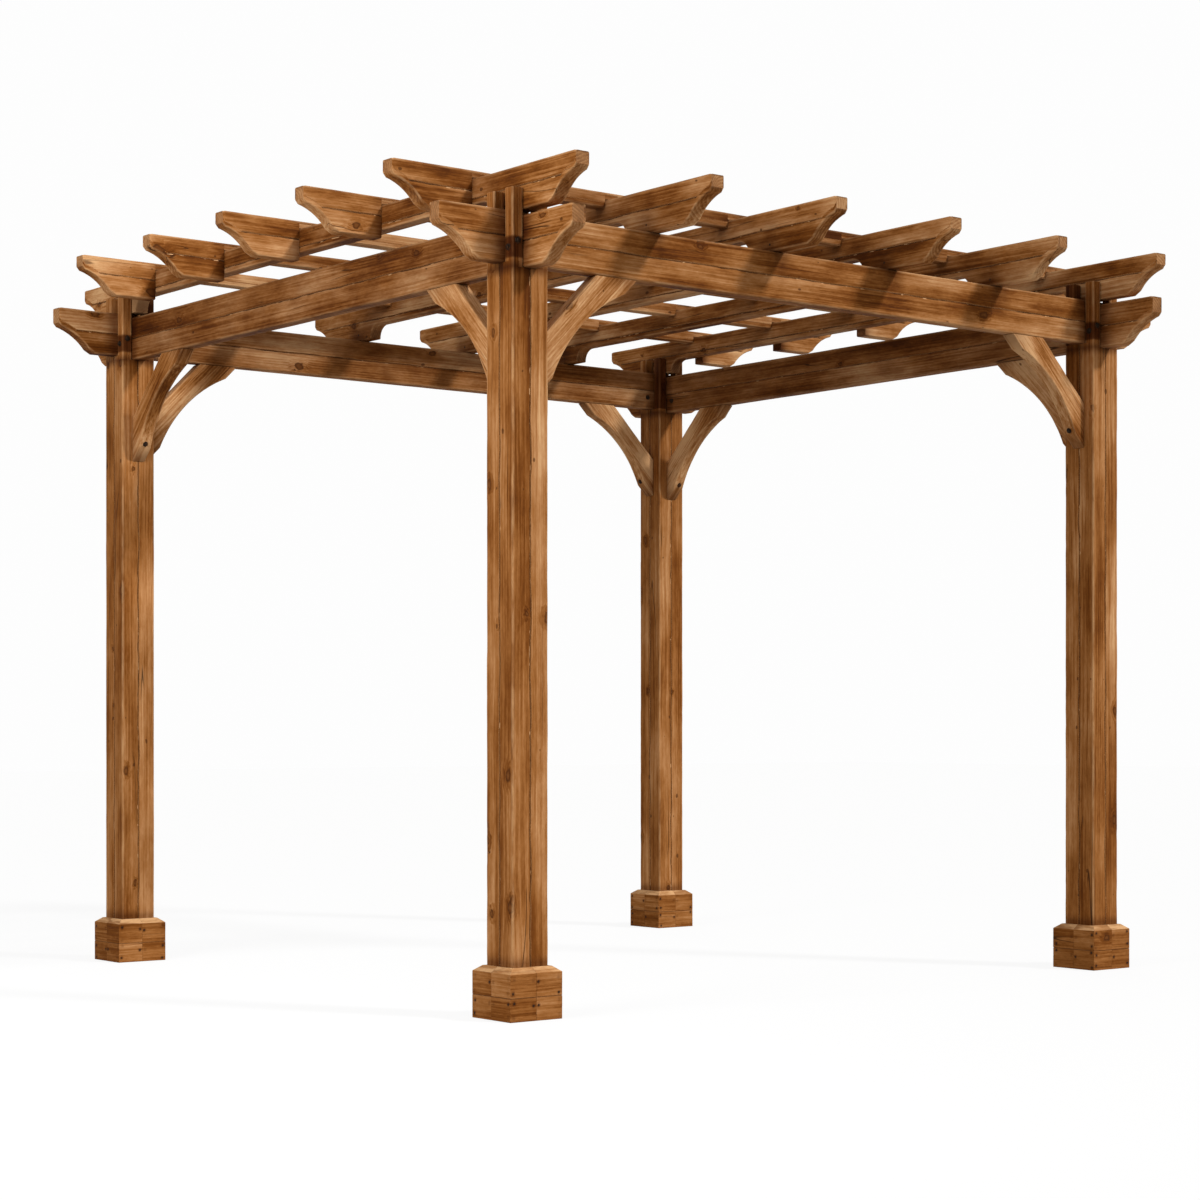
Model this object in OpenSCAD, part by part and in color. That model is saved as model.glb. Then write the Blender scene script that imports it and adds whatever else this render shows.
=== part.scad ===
// Timber garden pergola: four posts with forked heads, crossed beams on knee
// braces, a row of rafters and a row of cross slats, all with shaped tails.
// Millimetres, +Z up. The origin is on the ground, midway between the posts.
// X runs along the front and back beams, Y along the side beams and rafters.

/* [Plan and height] */
// Post spacing along X, centre to centre
span_x = 2720; // [1800:10:4200]
// Post spacing along Y, centre to centre
span_y = 2560; // [1800:10:4200]
// Height of the side beams' underside above the ground
head_height = 2350; // [1900:10:2800]
// Side clearance where one timber passes through another
joint_fit = 0.3; // [0.1:0.1:2]

/* [Posts] */
// Width of each square post
post_w = 140; // [110:1:146]
// Height of the post's four horns above the front and back beams
horn_rise = 67; // [20:1:110]

/* [Post bases] */
// Thickness of the base boards round each post
base_board_t = 31; // [26:1:60]
// Height of one course of base boards
base_course_h = 74.5; // [50:0.5:120]
// Height of the sloped edge on top of the base
base_slope_h = 18; // [10:1:40]
// Width of the sloped edge on top of the base
base_slope_w = 24; // [8:1:25]

/* [Beams] */
// Thickness of the beams
beam_t = 54; // [40:1:70]
// Depth of the beams
beam_depth = 165; // [140:1:220]
// How much higher the front and back beams sit than the side beams
beam_step = 18; // [6:1:40]
// Length of the beam tails beyond the posts
beam_tail = 248; // [200:1:400]
// Height of the square tip of a beam tail
beam_tip = 60; // [44:1:70]

/* [Rafters] */
// Number of rafters
rafter_count = 6; // [3:1:9]
// Thickness of the rafters
rafter_t = 54; // [40:1:54]
// Depth of the rafters at their tails
rafter_depth = 140; // [120:1:190]
// Length of the rafter tails beyond the posts
rafter_tail = 266; // [210:1:420]
// Height of the square tip of a rafter tail
rafter_tip = 44; // [36:1:56]
// Depth cut away under the rafters between the beams
rafter_relief = 55; // [20:1:70]
// Distance from the beam's centre to the start of that cut
rafter_shoulder = 96; // [60:1:200]

/* [Slats] */
// Number of slats
slat_count = 5; // [3:1:7]
// Thickness of the slats
slat_t = 54; // [38:1:60]
// Depth of the slats at their tails
slat_depth = 140; // [120:1:180]
// Distance from the posts' centre line to the first and last slat
slat_margin = 232; // [140:1:400]
// Height of the slats above the rafters
slat_rise = 27; // [22:1:60]
// Depth of the notches that seat the slats over the rafters
slat_seat = 25; // [10:1:40]
// Length of the slat tails beyond the posts
slat_tail = 266; // [210:1:420]
// Height of the square tip of a slat tail
slat_tip = 44; // [36:1:56]

/* [Tail shape] */
// Bevel under the tip
tip_bevel = 12; // [4:1:16]
// Length of the curved taper for each millimetre of its height
taper_ratio = 1.48; // [1.3:0.02:1.7]
// Depth of the taper's hollow curve at mid length
taper_hollow = 11; // [5:1:16]
// Length of the bevelled toe where the taper meets the underside
toe_l = 26; // [12:1:36]
// Height of the bevelled toe
toe_h = 15; // [8:1:20]

/* [Knee braces] */
// Thickness of the braces
brace_t = 54; // [36:1:60]
// Reach of a brace along the post and along the beam
brace_leg = 398; // [350:1:520]
// Distance from the corner to the brace's straight back
brace_back = 229; // [150:1:250]
// Rise of the curved edge at mid length
brace_bow = 42; // [15:1:56]
// Length of the bevelled toe at each end of the curve
brace_toe = 50; // [20:1:70]

/* [Hidden] */
$fn = 72;
wood = "peru";
dark_wood = "sienna";
light_wood = "burlywood";
// Overrun that lets a cutter pass clean through a face
over = 1;
// How far one cutter of a tail runs into the next
run_in = 4;

// Heights that the pieces share
side_beam_z = head_height;
side_beam_top = side_beam_z + beam_depth;
cross_beam_z = side_beam_z + beam_step;
cross_beam_top = cross_beam_z + beam_depth;
lap_z = (cross_beam_z + side_beam_top) / 2;
horn_top = cross_beam_top + horn_rise;
rafter_z = cross_beam_top;
rafter_top = rafter_z + rafter_depth;
slat_top = rafter_top + slat_rise;
slat_z = slat_top - slat_depth;
base_top = 2 * base_course_h + base_slope_h;

// Hole that a base leaves for its post, and the outside width of its boards
post_hole_w = post_w + 2 * joint_fit;
base_w = post_hole_w + 2 * base_board_t;

// Half lengths and pitches
cross_beam_reach = (span_x + post_w) / 2 + beam_tail;
side_beam_reach = (span_y + post_w) / 2 + beam_tail;
rafter_reach = (span_y + post_w) / 2 + rafter_tail;
slat_reach = (span_x + post_w) / 2 + slat_tail;
rafter_pitch = span_x / (rafter_count - 1);
slat_pitch = (span_y - 2 * slat_margin) / (slat_count - 1);

// Slots and notches, each as wide as the timber that passes through it
slot_w = max(beam_t, rafter_t) + 2 * joint_fit;
lap_w = beam_t + 2 * joint_fit;
seat_w = rafter_t + 2 * joint_fit;

CORNERS = [
    ["front_left", -1, -1],
    ["front_right", 1, -1],
    ["back_left", -1, 1],
    ["back_right", 1, 1]
];
// Name, side along the beam, side of the plan
CROSS_BRACES = [
    ["front_brace_left", -1, -1],
    ["front_brace_right", 1, -1],
    ["back_brace_left", -1, 1],
    ["back_brace_right", 1, 1]
];
SIDE_BRACES = [
    ["left_brace_front", -1, -1],
    ["left_brace_back", 1, -1],
    ["right_brace_front", -1, 1],
    ["right_brace_back", 1, 1]
];

// Stands an outline up along X, with its thickness centred on Y
module along_x(thickness) {
    rotate([90, 0, 0]) linear_extrude(thickness, center = true) children();
}

// Stands an outline up along Y, with its thickness centred on X
module along_y(thickness) {
    rotate([90, 0, 90]) linear_extrude(thickness, center = true) children();
}

// What is cut from one end of a timber to leave its tail: a bevel under the
// tip, a hollow curve and a bevelled toe. The tip is at x = 0.
module tail_cut(depth, tip) {
    tip_z = depth - tip;
    taper = tip_z * taper_ratio;
    curve_start = [tip_bevel, tip_z - tip_bevel];
    curve_end = [taper - toe_l, toe_h];
    chord = curve_end - curve_start;
    half = norm(chord) / 2;
    hollow_r = (half * half + taper_hollow * taper_hollow) / (2 * taper_hollow);
    outward = [chord[1], -chord[0]] / norm(chord);
    middle = (curve_start + curve_end) / 2;
    bevel_end = curve_start + [run_in, -run_in];
    toe_start = curve_end + [-toe_l, toe_h] / run_in;
    translate(middle + (hollow_r - taper_hollow) * outward) circle(hollow_r, $fn = 180);
    polygon([[-over, tip_z + over], bevel_end, [-over, bevel_end[1]]]);
    polygon([toe_start, [taper + over * toe_l / toe_h, -over], [toe_start[0], -over]]);
}

// A straight timber with a shaped tail at both ends, its underside on y = 0
module tailed_outline(reach, depth, tip) {
    difference() {
        translate([-reach, 0]) square([2 * reach, depth]);
        for (side = [0, 1]) mirror([side, 0]) translate([-reach, 0]) tail_cut(depth, tip);
    }
}

// Post with a forked head: one slot for the side beam and the rafter above it,
// one for the front or back beam, and a horn left standing at each corner
module post(corner) {
    color(wood) translate([corner[1] * span_x / 2, corner[2] * span_y / 2, 0]) difference() {
        translate([-post_w / 2, -post_w / 2, 0]) cube([post_w, post_w, horn_top]);
        translate([-slot_w / 2, -post_w / 2 - over, side_beam_z])
            cube([slot_w, post_w + 2 * over, horn_top]);
        translate([-post_w / 2 - over, -lap_w / 2, cross_beam_z])
            cube([post_w + 2 * over, lap_w, horn_top]);
    }
}

// The square hole that a base course leaves for its post
module post_hole() {
    translate([-post_hole_w / 2, -post_hole_w / 2, -over])
        cube([post_hole_w, post_hole_w, base_top + 2 * over]);
}

// Lower course of base boards
module base_lower(corner) {
    color(dark_wood) translate([corner[1] * span_x / 2, corner[2] * span_y / 2, 0]) difference() {
        translate([-base_w / 2, -base_w / 2, 0]) cube([base_w, base_w, base_course_h]);
        post_hole();
    }
}

// Side view of the upper course, with its sloped top edge
module base_upper_outline() {
    edge = base_w / 2;
    polygon([
        [-edge, base_course_h],
        [edge, base_course_h],
        [edge, 2 * base_course_h],
        [edge - base_slope_w, base_top],
        [base_slope_w - edge, base_top],
        [-edge, 2 * base_course_h]
    ]);
}

// Upper course of base boards, sloped on all four sides to shed water
module base_upper(corner) {
    color(dark_wood) translate([corner[1] * span_x / 2, corner[2] * span_y / 2, 0]) difference() {
        intersection() {
            along_x(base_w) base_upper_outline();
            along_y(base_w) base_upper_outline();
        }
        post_hole();
    }
}

// Front or back beam, notched underneath over the side beams
module cross_beam(side) {
    lap_h = lap_z - cross_beam_z;
    color(wood) translate([0, side * span_y / 2, cross_beam_z]) along_x(beam_t) difference() {
        tailed_outline(cross_beam_reach, beam_depth, beam_tip);
        for (end = [-1, 1])
            translate([end * span_x / 2 - lap_w / 2, -over]) square([lap_w, lap_h + over]);
    }
}

// Left or right beam, notched on top to take the front and back beams
module side_beam(side) {
    lap_h = side_beam_top - lap_z;
    color(wood) translate([side * span_x / 2, 0, side_beam_z]) along_y(beam_t) difference() {
        tailed_outline(side_beam_reach, beam_depth, beam_tip);
        for (end = [-1, 1])
            translate([end * span_y / 2 - lap_w / 2, beam_depth - lap_h])
                square([lap_w, lap_h + over]);
    }
}

// Knee brace in the corner of a post (x = 0) and a beam (y = 0): a straight
// back, a bevelled toe at each end and a curved edge bowed towards the corner
module brace_outline() {
    chord = (brace_leg - 2 * brace_toe) * sqrt(2);
    bow_r = (chord * chord / 4 + brace_bow * brace_bow) / (2 * brace_bow);
    middle = brace_leg / 2 + (bow_r - brace_bow) / sqrt(2);
    difference() {
        polygon([
            [0, -brace_back],
            [0, -brace_leg],
            [brace_toe, brace_toe - brace_leg],
            [brace_leg - brace_toe, -brace_toe],
            [brace_leg, 0],
            [brace_back, 0]
        ]);
        translate([middle, -middle]) circle(bow_r, $fn = 144);
    }
}

// Brace in the plane of the front or back beam
module cross_brace(brace) {
    face_x = (span_x - post_w) / 2;
    color(light_wood) translate([brace[1] * face_x, brace[2] * span_y / 2, cross_beam_z])
        along_x(brace_t) mirror([brace[1] > 0 ? 1 : 0, 0]) brace_outline();
}

// Brace in the plane of a side beam
module side_brace(brace) {
    face_y = (span_y - post_w) / 2;
    color(light_wood) translate([brace[2] * span_x / 2, brace[1] * face_y, side_beam_z])
        along_y(brace_t) mirror([brace[1] > 0 ? 1 : 0, 0]) brace_outline();
}

// What is cut from under a rafter between the beams, with a cove at each end
module relief_cut() {
    half = span_y / 2 - rafter_shoulder - rafter_relief;
    translate([-half, -over]) square([2 * half, rafter_relief + over]);
    for (side = [-1, 1]) translate([side * half, 0]) circle(rafter_relief);
}

// Rafter, resting on the front and back beams
module rafter(i) {
    color(light_wood) translate([(i - 1) * rafter_pitch - span_x / 2, 0, rafter_z])
        along_y(rafter_t) difference() {
            tailed_outline(rafter_reach, rafter_depth, rafter_tip);
            relief_cut();
        }
}

// Slat, seated in notches over every rafter. Its deep tails hook down over
// the outer faces of the first and last rafter.
module slat(i) {
    web_z = slat_depth - slat_rise - slat_seat;
    seat_z = slat_depth - slat_rise;
    hook_x = (span_x + seat_w) / 2;
    color(wood) translate([0, slat_margin + (i - 1) * slat_pitch - span_y / 2, slat_z])
        along_x(slat_t) difference() {
            tailed_outline(slat_reach, slat_depth, slat_tip);
            translate([-hook_x, -over]) square([2 * hook_x, web_z + over]);
            for (k = [0 : rafter_count - 1])
                translate([k * rafter_pitch - (span_x + seat_w) / 2, 0]) square([seat_w, seat_z]);
        }
}

for (c = CORNERS) {
    post(c);
    base_lower(c);
    base_upper(c);
}
cross_beam(-1);  // front_beam
cross_beam(1);  // back_beam
side_beam(-1);  // left_beam
side_beam(1);  // right_beam
for (b = CROSS_BRACES) cross_brace(b);
for (b = SIDE_BRACES) side_brace(b);
for (i = [1 : rafter_count]) rafter(i);
for (i = [1 : slat_count]) slat(i);
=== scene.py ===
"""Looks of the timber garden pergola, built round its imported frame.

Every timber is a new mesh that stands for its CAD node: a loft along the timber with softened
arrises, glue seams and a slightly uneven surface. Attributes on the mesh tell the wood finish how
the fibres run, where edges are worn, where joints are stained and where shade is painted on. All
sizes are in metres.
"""

import logging
import math
import random
from dataclasses import dataclass, field, replace
from enum import Enum
from typing import Any, Callable, Iterable, Sequence

import bpy
import numpy as np
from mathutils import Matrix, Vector


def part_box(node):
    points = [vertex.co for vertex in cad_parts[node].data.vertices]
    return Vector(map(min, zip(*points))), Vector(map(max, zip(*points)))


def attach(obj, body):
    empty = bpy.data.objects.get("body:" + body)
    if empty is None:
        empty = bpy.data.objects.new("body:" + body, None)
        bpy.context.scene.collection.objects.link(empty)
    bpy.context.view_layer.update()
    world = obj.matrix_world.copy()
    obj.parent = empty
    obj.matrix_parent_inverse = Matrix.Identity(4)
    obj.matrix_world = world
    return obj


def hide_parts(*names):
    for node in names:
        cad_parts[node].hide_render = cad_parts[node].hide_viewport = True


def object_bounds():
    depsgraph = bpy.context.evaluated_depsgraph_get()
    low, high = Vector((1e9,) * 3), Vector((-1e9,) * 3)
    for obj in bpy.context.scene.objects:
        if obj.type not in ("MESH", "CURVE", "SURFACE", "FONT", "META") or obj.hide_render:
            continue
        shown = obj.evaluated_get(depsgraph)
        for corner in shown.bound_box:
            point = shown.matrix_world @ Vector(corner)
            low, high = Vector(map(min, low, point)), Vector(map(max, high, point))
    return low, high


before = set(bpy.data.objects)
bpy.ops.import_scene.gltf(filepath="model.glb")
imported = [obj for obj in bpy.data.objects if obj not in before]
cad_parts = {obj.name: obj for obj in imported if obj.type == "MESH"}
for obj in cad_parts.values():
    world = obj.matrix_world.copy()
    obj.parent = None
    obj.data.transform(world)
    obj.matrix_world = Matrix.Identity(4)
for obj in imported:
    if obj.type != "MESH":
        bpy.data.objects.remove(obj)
CAD_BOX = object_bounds()
LOG = logging.getLogger("pergola")

Array = np.ndarray
Point = tuple[float, float]
Triple = tuple[float, float, float]
Colour = tuple[float, float, float]
Placing = tuple[Vector, Vector]
Ends = tuple[Array, Array]
Rung = tuple[Array, float, Array, bool]

X_AXIS = Vector((1.0, 0.0, 0.0))
Y_AXIS = Vector((0.0, 1.0, 0.0))
Z_AXIS = Vector((0.0, 0.0, 1.0))
SIDES = (-1, 1)
LEVEL_SIDES = (-X_AXIS, X_AXIS, -Y_AXIS, Y_AXIS)
MARKS = ("grain", "heart", "tone", "wear", "seam", "stain", "skin")

# Height of the head bolts over the side beams' underside.
BOLT_RISE = 0.062
# Run of a notch's walls, which keeps one height at each place of a profile.
NOTCH_WALL = 0.0004
# Wear of an edge that is rubbed down as well as paler.
FULL_WEAR = 1.0
# Wear of the cut ends, and how far round the timber their pattern starts.
CAP_WEAR = 0.2
CAP_WRAP = 9.0
# Difference below which two heights count as the same.
TINY = 1e-6
# Where the heart of the tree lies, as a share of a board's depth and as distances across it.
PITH_LEVEL = 0.4
PITH_OFF = (0.035, 0.095)
# How far the pattern of the wood runs along and across the fibres, and how far the sheet of knots runs.
PILE_RUN = 90.0
PILE_WIDTH = 40.0
SHEET_RUN = 60.0


class Slot(Enum):
    """Material slots of the record."""

    POST = "post_timber"
    BASE = "base_boards"
    BEAM = "beam_timber"
    BRACE = "brace_timber"
    ROOF = "roof_timber"
    FIXING = "dark_fixings"


class Corner(Enum):
    """The four posts, by the signs of their X and Y."""

    FRONT_LEFT = (-1, -1)
    FRONT_RIGHT = (1, -1)
    BACK_LEFT = (-1, 1)
    BACK_RIGHT = (1, 1)

    @property
    def label(self) -> str:
        """Name of this corner in the node names."""
        return self.name.lower()


class Course(Enum):
    """The two courses of a base, by their names in the node names."""

    LOWER = "lower"
    UPPER = "upper"


class Wave(Enum):
    """Longest wave of each uneven line, in metres."""

    HOLLOW = 0.9
    GROOVE = 0.5
    STRAY = 0.42
    DRIFT = 0.36
    WORN = 0.35


class Ripple:
    """A smooth uneven line, from 0 to 1, made of a few sine waves."""

    def __init__(
        self, seed: str, longest: Wave, waves: int = 5, shorter: float = 0.62, weaker: float = 0.8
    ) -> None:
        """Chooses the waves.

        Args:
            seed: Words that fix the choice.
            longest: Longest wave length.
            waves: Number of waves.
            shorter: Length of each wave as a share of the last one's.
            weaker: Strength of each wave as a share of the last one's.
        """
        rng = random.Random(seed)
        self.waves = [
            (math.tau / (longest.value * shorter**k), rng.uniform(0.0, math.tau), weaker**k)
            for k in range(waves)
        ]
        self.total = sum(share for _, _, share in self.waves)

    def at(self, along: Array) -> Array:
        """Reads the line, from 0 to 1, at places along the timber."""
        waves = sum(share * np.sin(rate * along + phase) for rate, phase, share in self.waves)
        return 0.5 + 0.5 * waves / self.total


@dataclass(frozen=True)
class Lamella:
    """One of the boards that a timber is glued up from.

    Attributes:
        tone: How pale it is, from -1 to 1.
        pith: Where the heart of the tree was, from the middle of the board.
        shift: Where in the pattern of the wood it was cut.
    """

    tone: float
    pith: Point
    shift: Triple

    @classmethod
    def chosen(cls, seed: str, depth: float) -> "Lamella":
        """Picks a board from the pile.

        Args:
            seed: Words that fix the choice.
            depth: Depth of the board, which the heart of the tree lies near.

        Returns:
            The board.
        """
        rng = random.Random(seed)
        pith = (rng.uniform(-PITH_LEVEL, PITH_LEVEL) * depth, rng.choice(SIDES) * rng.uniform(*PITH_OFF))
        lengths = (PILE_RUN, PILE_WIDTH, PILE_WIDTH)
        along, rise, across = (rng.uniform(0.0, length) for length in lengths)
        return cls(rng.uniform(-1.0, 1.0), pith, (along, rise, across))


@dataclass(frozen=True)
class Stain:
    """Darkened wood along a stretch of a timber, mostly where another piece meets it: partly stain, partly
    painted shade.

    Attributes:
        place: Where the other piece's middle is, along the timber.
        half: Half of the other piece's width.
        fade: How far the stain runs out on each side.
        strength: How dark it is at the most.
        low: Share of it that reaches the underside.
        high: Share of it that reaches the top.
        facing: The one side that it keeps to, as a sign, or 0 for both.
        sharp: How closely the top's share keeps to the top.
    """

    place: float
    half: float
    fade: float = 0.05
    strength: float = 0.8
    low: float = 1.0
    high: float = 1.0
    facing: int = 0
    sharp: float = 1.0

    def at(self, along: Array, level: Array, side: Array) -> Array:
        """Reads how dark the stain and painted shade are.

        Args:
            along: Places along the timber.
            level: Heights on the timber, from 0 at its underside to 1 at its top.
            side: Places across the thickness.

        Returns:
            Darkness from 0 to 1.
        """
        away = np.maximum(np.abs(along - self.place) - self.half, 0.0) / self.fade
        share = self.low + (self.high - self.low) * np.clip(level, 0.0, 1.0) ** self.sharp
        if self.facing:
            share = share * (side * self.facing > 0.0)
        return self.strength * share * np.exp(-(away**1.5))


@dataclass(frozen=True)
class Blot:
    """Small dark mark round a screw or a filled hole.

    Attributes:
        place: Where it is along the timber.
        level: Its height on the timber, from 0 at the underside to 1 at the top.
        depth: Depth of the timber.
        size: Its radius.
        strength: How dark it is at the most.
    """

    place: float
    level: float
    depth: float
    size: float = 0.008
    strength: float = 0.8

    def at(self, along: Array, level: Array, side: Array) -> Array:
        """Reads the mark, on the outer side only, as a stain is read."""
        away = np.hypot(along - self.place, (level - self.level) * self.depth) / self.size
        return self.strength * np.exp(-(away**3)) * (side > 0.0)


Darkening = Stain | Blot


@dataclass(frozen=True)
class Screw:
    """Place of a screw on a base.

    Attributes:
        out: Which way its face looks.
        side: Which half board of that face it is in.
        along: Its place along the face.
        rise: Its height over the board's underside.
        driven: Whether there is a screw, or only the mark of one.
    """

    out: Vector
    side: int
    along: float
    rise: float
    driven: bool


@dataclass(frozen=True)
class Station:
    """One cut across a timber, in its side view.

    Attributes:
        low: Lower end of the cut.
        high: Upper end of the cut.
    """

    low: Point
    high: Point


@dataclass(frozen=True)
class Section:
    """Cross-section that a loft carries along a timber.

    Attributes:
        near: Lower bound across the timber's thickness.
        far: Upper bound across the timber's thickness.
        arris: Radius of the softened edges.
        seam_rise: Height of the glue seam on the two sides, if there is one.
        seam_side: Place of the glue seam on the top and bottom, if there is one.
        groove: Half width of a glue seam.
        groove_depth: Greatest depth of a glue seam.
        unevenness: Greatest depth of the hollows in the surface.
        wander: How far a glue seam strays to each side.
        top_wear: How exposed the top is.
        edge_wear: How exposed the edges are.
        rim_wear: How exposed a face is beside an edge, as a share of the edge's own.
        arris_share: Greatest share of a cut's height that an edge takes.
        flank: Where a face starts to be flat, in arrises from its edge.
        bevel: How far an edge is cut back, in arrises.
        drawn_in: How far the face of an end is drawn in from the sides, in arrises.
        rub: How deep an edge is rubbed down, in arrises.
    """

    near: float
    far: float
    arris: float = 0.004
    seam_rise: float | None = None
    seam_side: float | None = None
    groove: float = 0.0038
    groove_depth: float = 0.003
    unevenness: float = 0.0012
    wander: float = 0.0022
    top_wear: float = 0.3
    edge_wear: float = 1.0
    rim_wear: float = 0.8
    arris_share: float = 0.2
    flank: float = 2.2
    bevel: float = 0.3
    drawn_in: float = 0.85
    rub: float = 0.9


class Face(Enum):
    """The four long faces of a timber, in order round it."""

    FAR = 0
    TOP = 1
    NEAR = 2
    BOTTOM = 3


@dataclass
class Column:
    """One line of points that runs along a loft.

    Attributes:
        rise: Distance from the low end of each station.
        side: Place across the thickness.
        inward: Which way is inward, along rise and along side.
        wear: How exposed the line is.
        seam: How deep in a glue seam the line is, at each station.
        upper: Whether it lies on the upper board.
        far: Whether it lies on the far board.
        face: Which face it lies on.
    """

    rise: Array
    side: Array
    inward: Point
    wear: float
    seam: Array
    upper: bool
    far: bool
    face: Face


def add_object(name: str, data: bpy.types.ID) -> bpy.types.Object:
    """Puts an object into the scene.

    Args:
        name: Its name.
        data: Its mesh, lamp or camera.

    Returns:
        The object.
    """
    made = bpy.data.objects.new(name, data)
    bpy.context.scene.collection.objects.link(made)
    return made


@dataclass
class Skin:
    """A mesh that is still being put together.

    Attributes:
        points: World points.
        faces: Numbers of each face's points.
        marks: Values at the points, by the name of the mark.
    """

    points: Array
    faces: list[list[int]]
    marks: dict[str, Array] = field(default_factory=dict)

    @classmethod
    def joined(cls, parts: Sequence["Skin"]) -> "Skin":
        """Puts several skins into one.

        Args:
            parts: The skins, all with the same marks.

        Returns:
            One skin.
        """
        faces: list[list[int]] = []
        start = 0
        for part in parts:
            faces += [[start + i for i in face] for face in part.faces]
            start += len(part.points)
        marks = {key: np.concatenate([p.marks[key] for p in parts]) for key in parts[0].marks}
        return cls(np.concatenate([p.points for p in parts]), faces, marks)

    def to_object(self, name: str, crease: float = 38.0) -> bpy.types.Object:
        """Makes a Blender object.

        Args:
            name: Name of the piece.
            crease: Angle in degrees over which an edge is sharp.

        Returns:
            The object, in the scene.
        """
        mesh = bpy.data.meshes.new(name)
        mesh.from_pydata(self.points.tolist(), [], self.faces)
        mesh.update()
        for key, values in self.marks.items():
            vector = values.ndim == 2
            kind = "FLOAT_VECTOR" if vector else "FLOAT"
            made = mesh.attributes.new(key, kind, "POINT")
            made.data.foreach_set("vector" if vector else "value", values.astype(np.float32).ravel())
        mesh.polygons.foreach_set("use_smooth", [True] * len(mesh.polygons))
        mesh.set_sharp_from_angle(angle=math.radians(crease))
        return add_object(name, mesh)


@dataclass
class Timber:
    """A length of wood, and where it lies.

    Attributes:
        seed: Words that fix what is uneven about it.
        along: World direction of its length, or of the first axis of its side view.
        up: World direction of its depth, or of the second axis of its side view.
        origin: World place of its side view's origin.
        depth: Depth of the whole timber.
        stains: Where it is stained and where shade is painted on it.
        grain_turn: Angle of the fibres in the side view.
        boards: Number of boards across its depth and across its thickness.
    """

    seed: str
    along: Vector
    up: Vector
    origin: Vector
    depth: float
    stains: tuple[Darkening, ...] = ()
    grain_turn: float = 0.0
    boards: tuple[int, int] = (2, 1)

    def lamella(self, upper: bool, far: bool) -> Lamella:
        """Finds the board that a place lies on.

        Args:
            upper: Whether the place is above the seam on the sides.
            far: Whether the place is beyond the seam on the top.

        Returns:
            The board.
        """
        row = int(upper) if self.boards[0] > 1 else 0
        layer = int(far) if self.boards[1] > 1 else 0
        return Lamella.chosen(f"{self.seed} board {row} {layer}", self.depth)

    def start(self) -> Point:
        """Picks where on an endless sheet of wood this timber's surface starts."""
        rng = random.Random(f"{self.seed} start")
        return (rng.uniform(0.0, SHEET_RUN), rng.uniform(0.0, SHEET_RUN))

    def place(self, plane: Array, side: Array) -> Array:
        """Takes points of the side view into the world.

        Args:
            plane: Points in the side view.
            side: Places across the thickness.

        Returns:
            World points.
        """
        across = self.along.cross(self.up)
        return (
            np.array(self.origin)
            + plane[:, :1] * np.array(self.along)
            + plane[:, 1:2] * np.array(self.up)
            + side[:, None] * np.array(across)
        )

    def fibres(self, plane: Array) -> Array:
        """Turns points of the side view so that the first axis follows the fibres."""
        cos, sin = math.cos(self.grain_turn), math.sin(self.grain_turn)
        return plane @ np.array([[cos, -sin], [sin, cos]])


Warp = Callable[[Array, Array], Ends]


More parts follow.
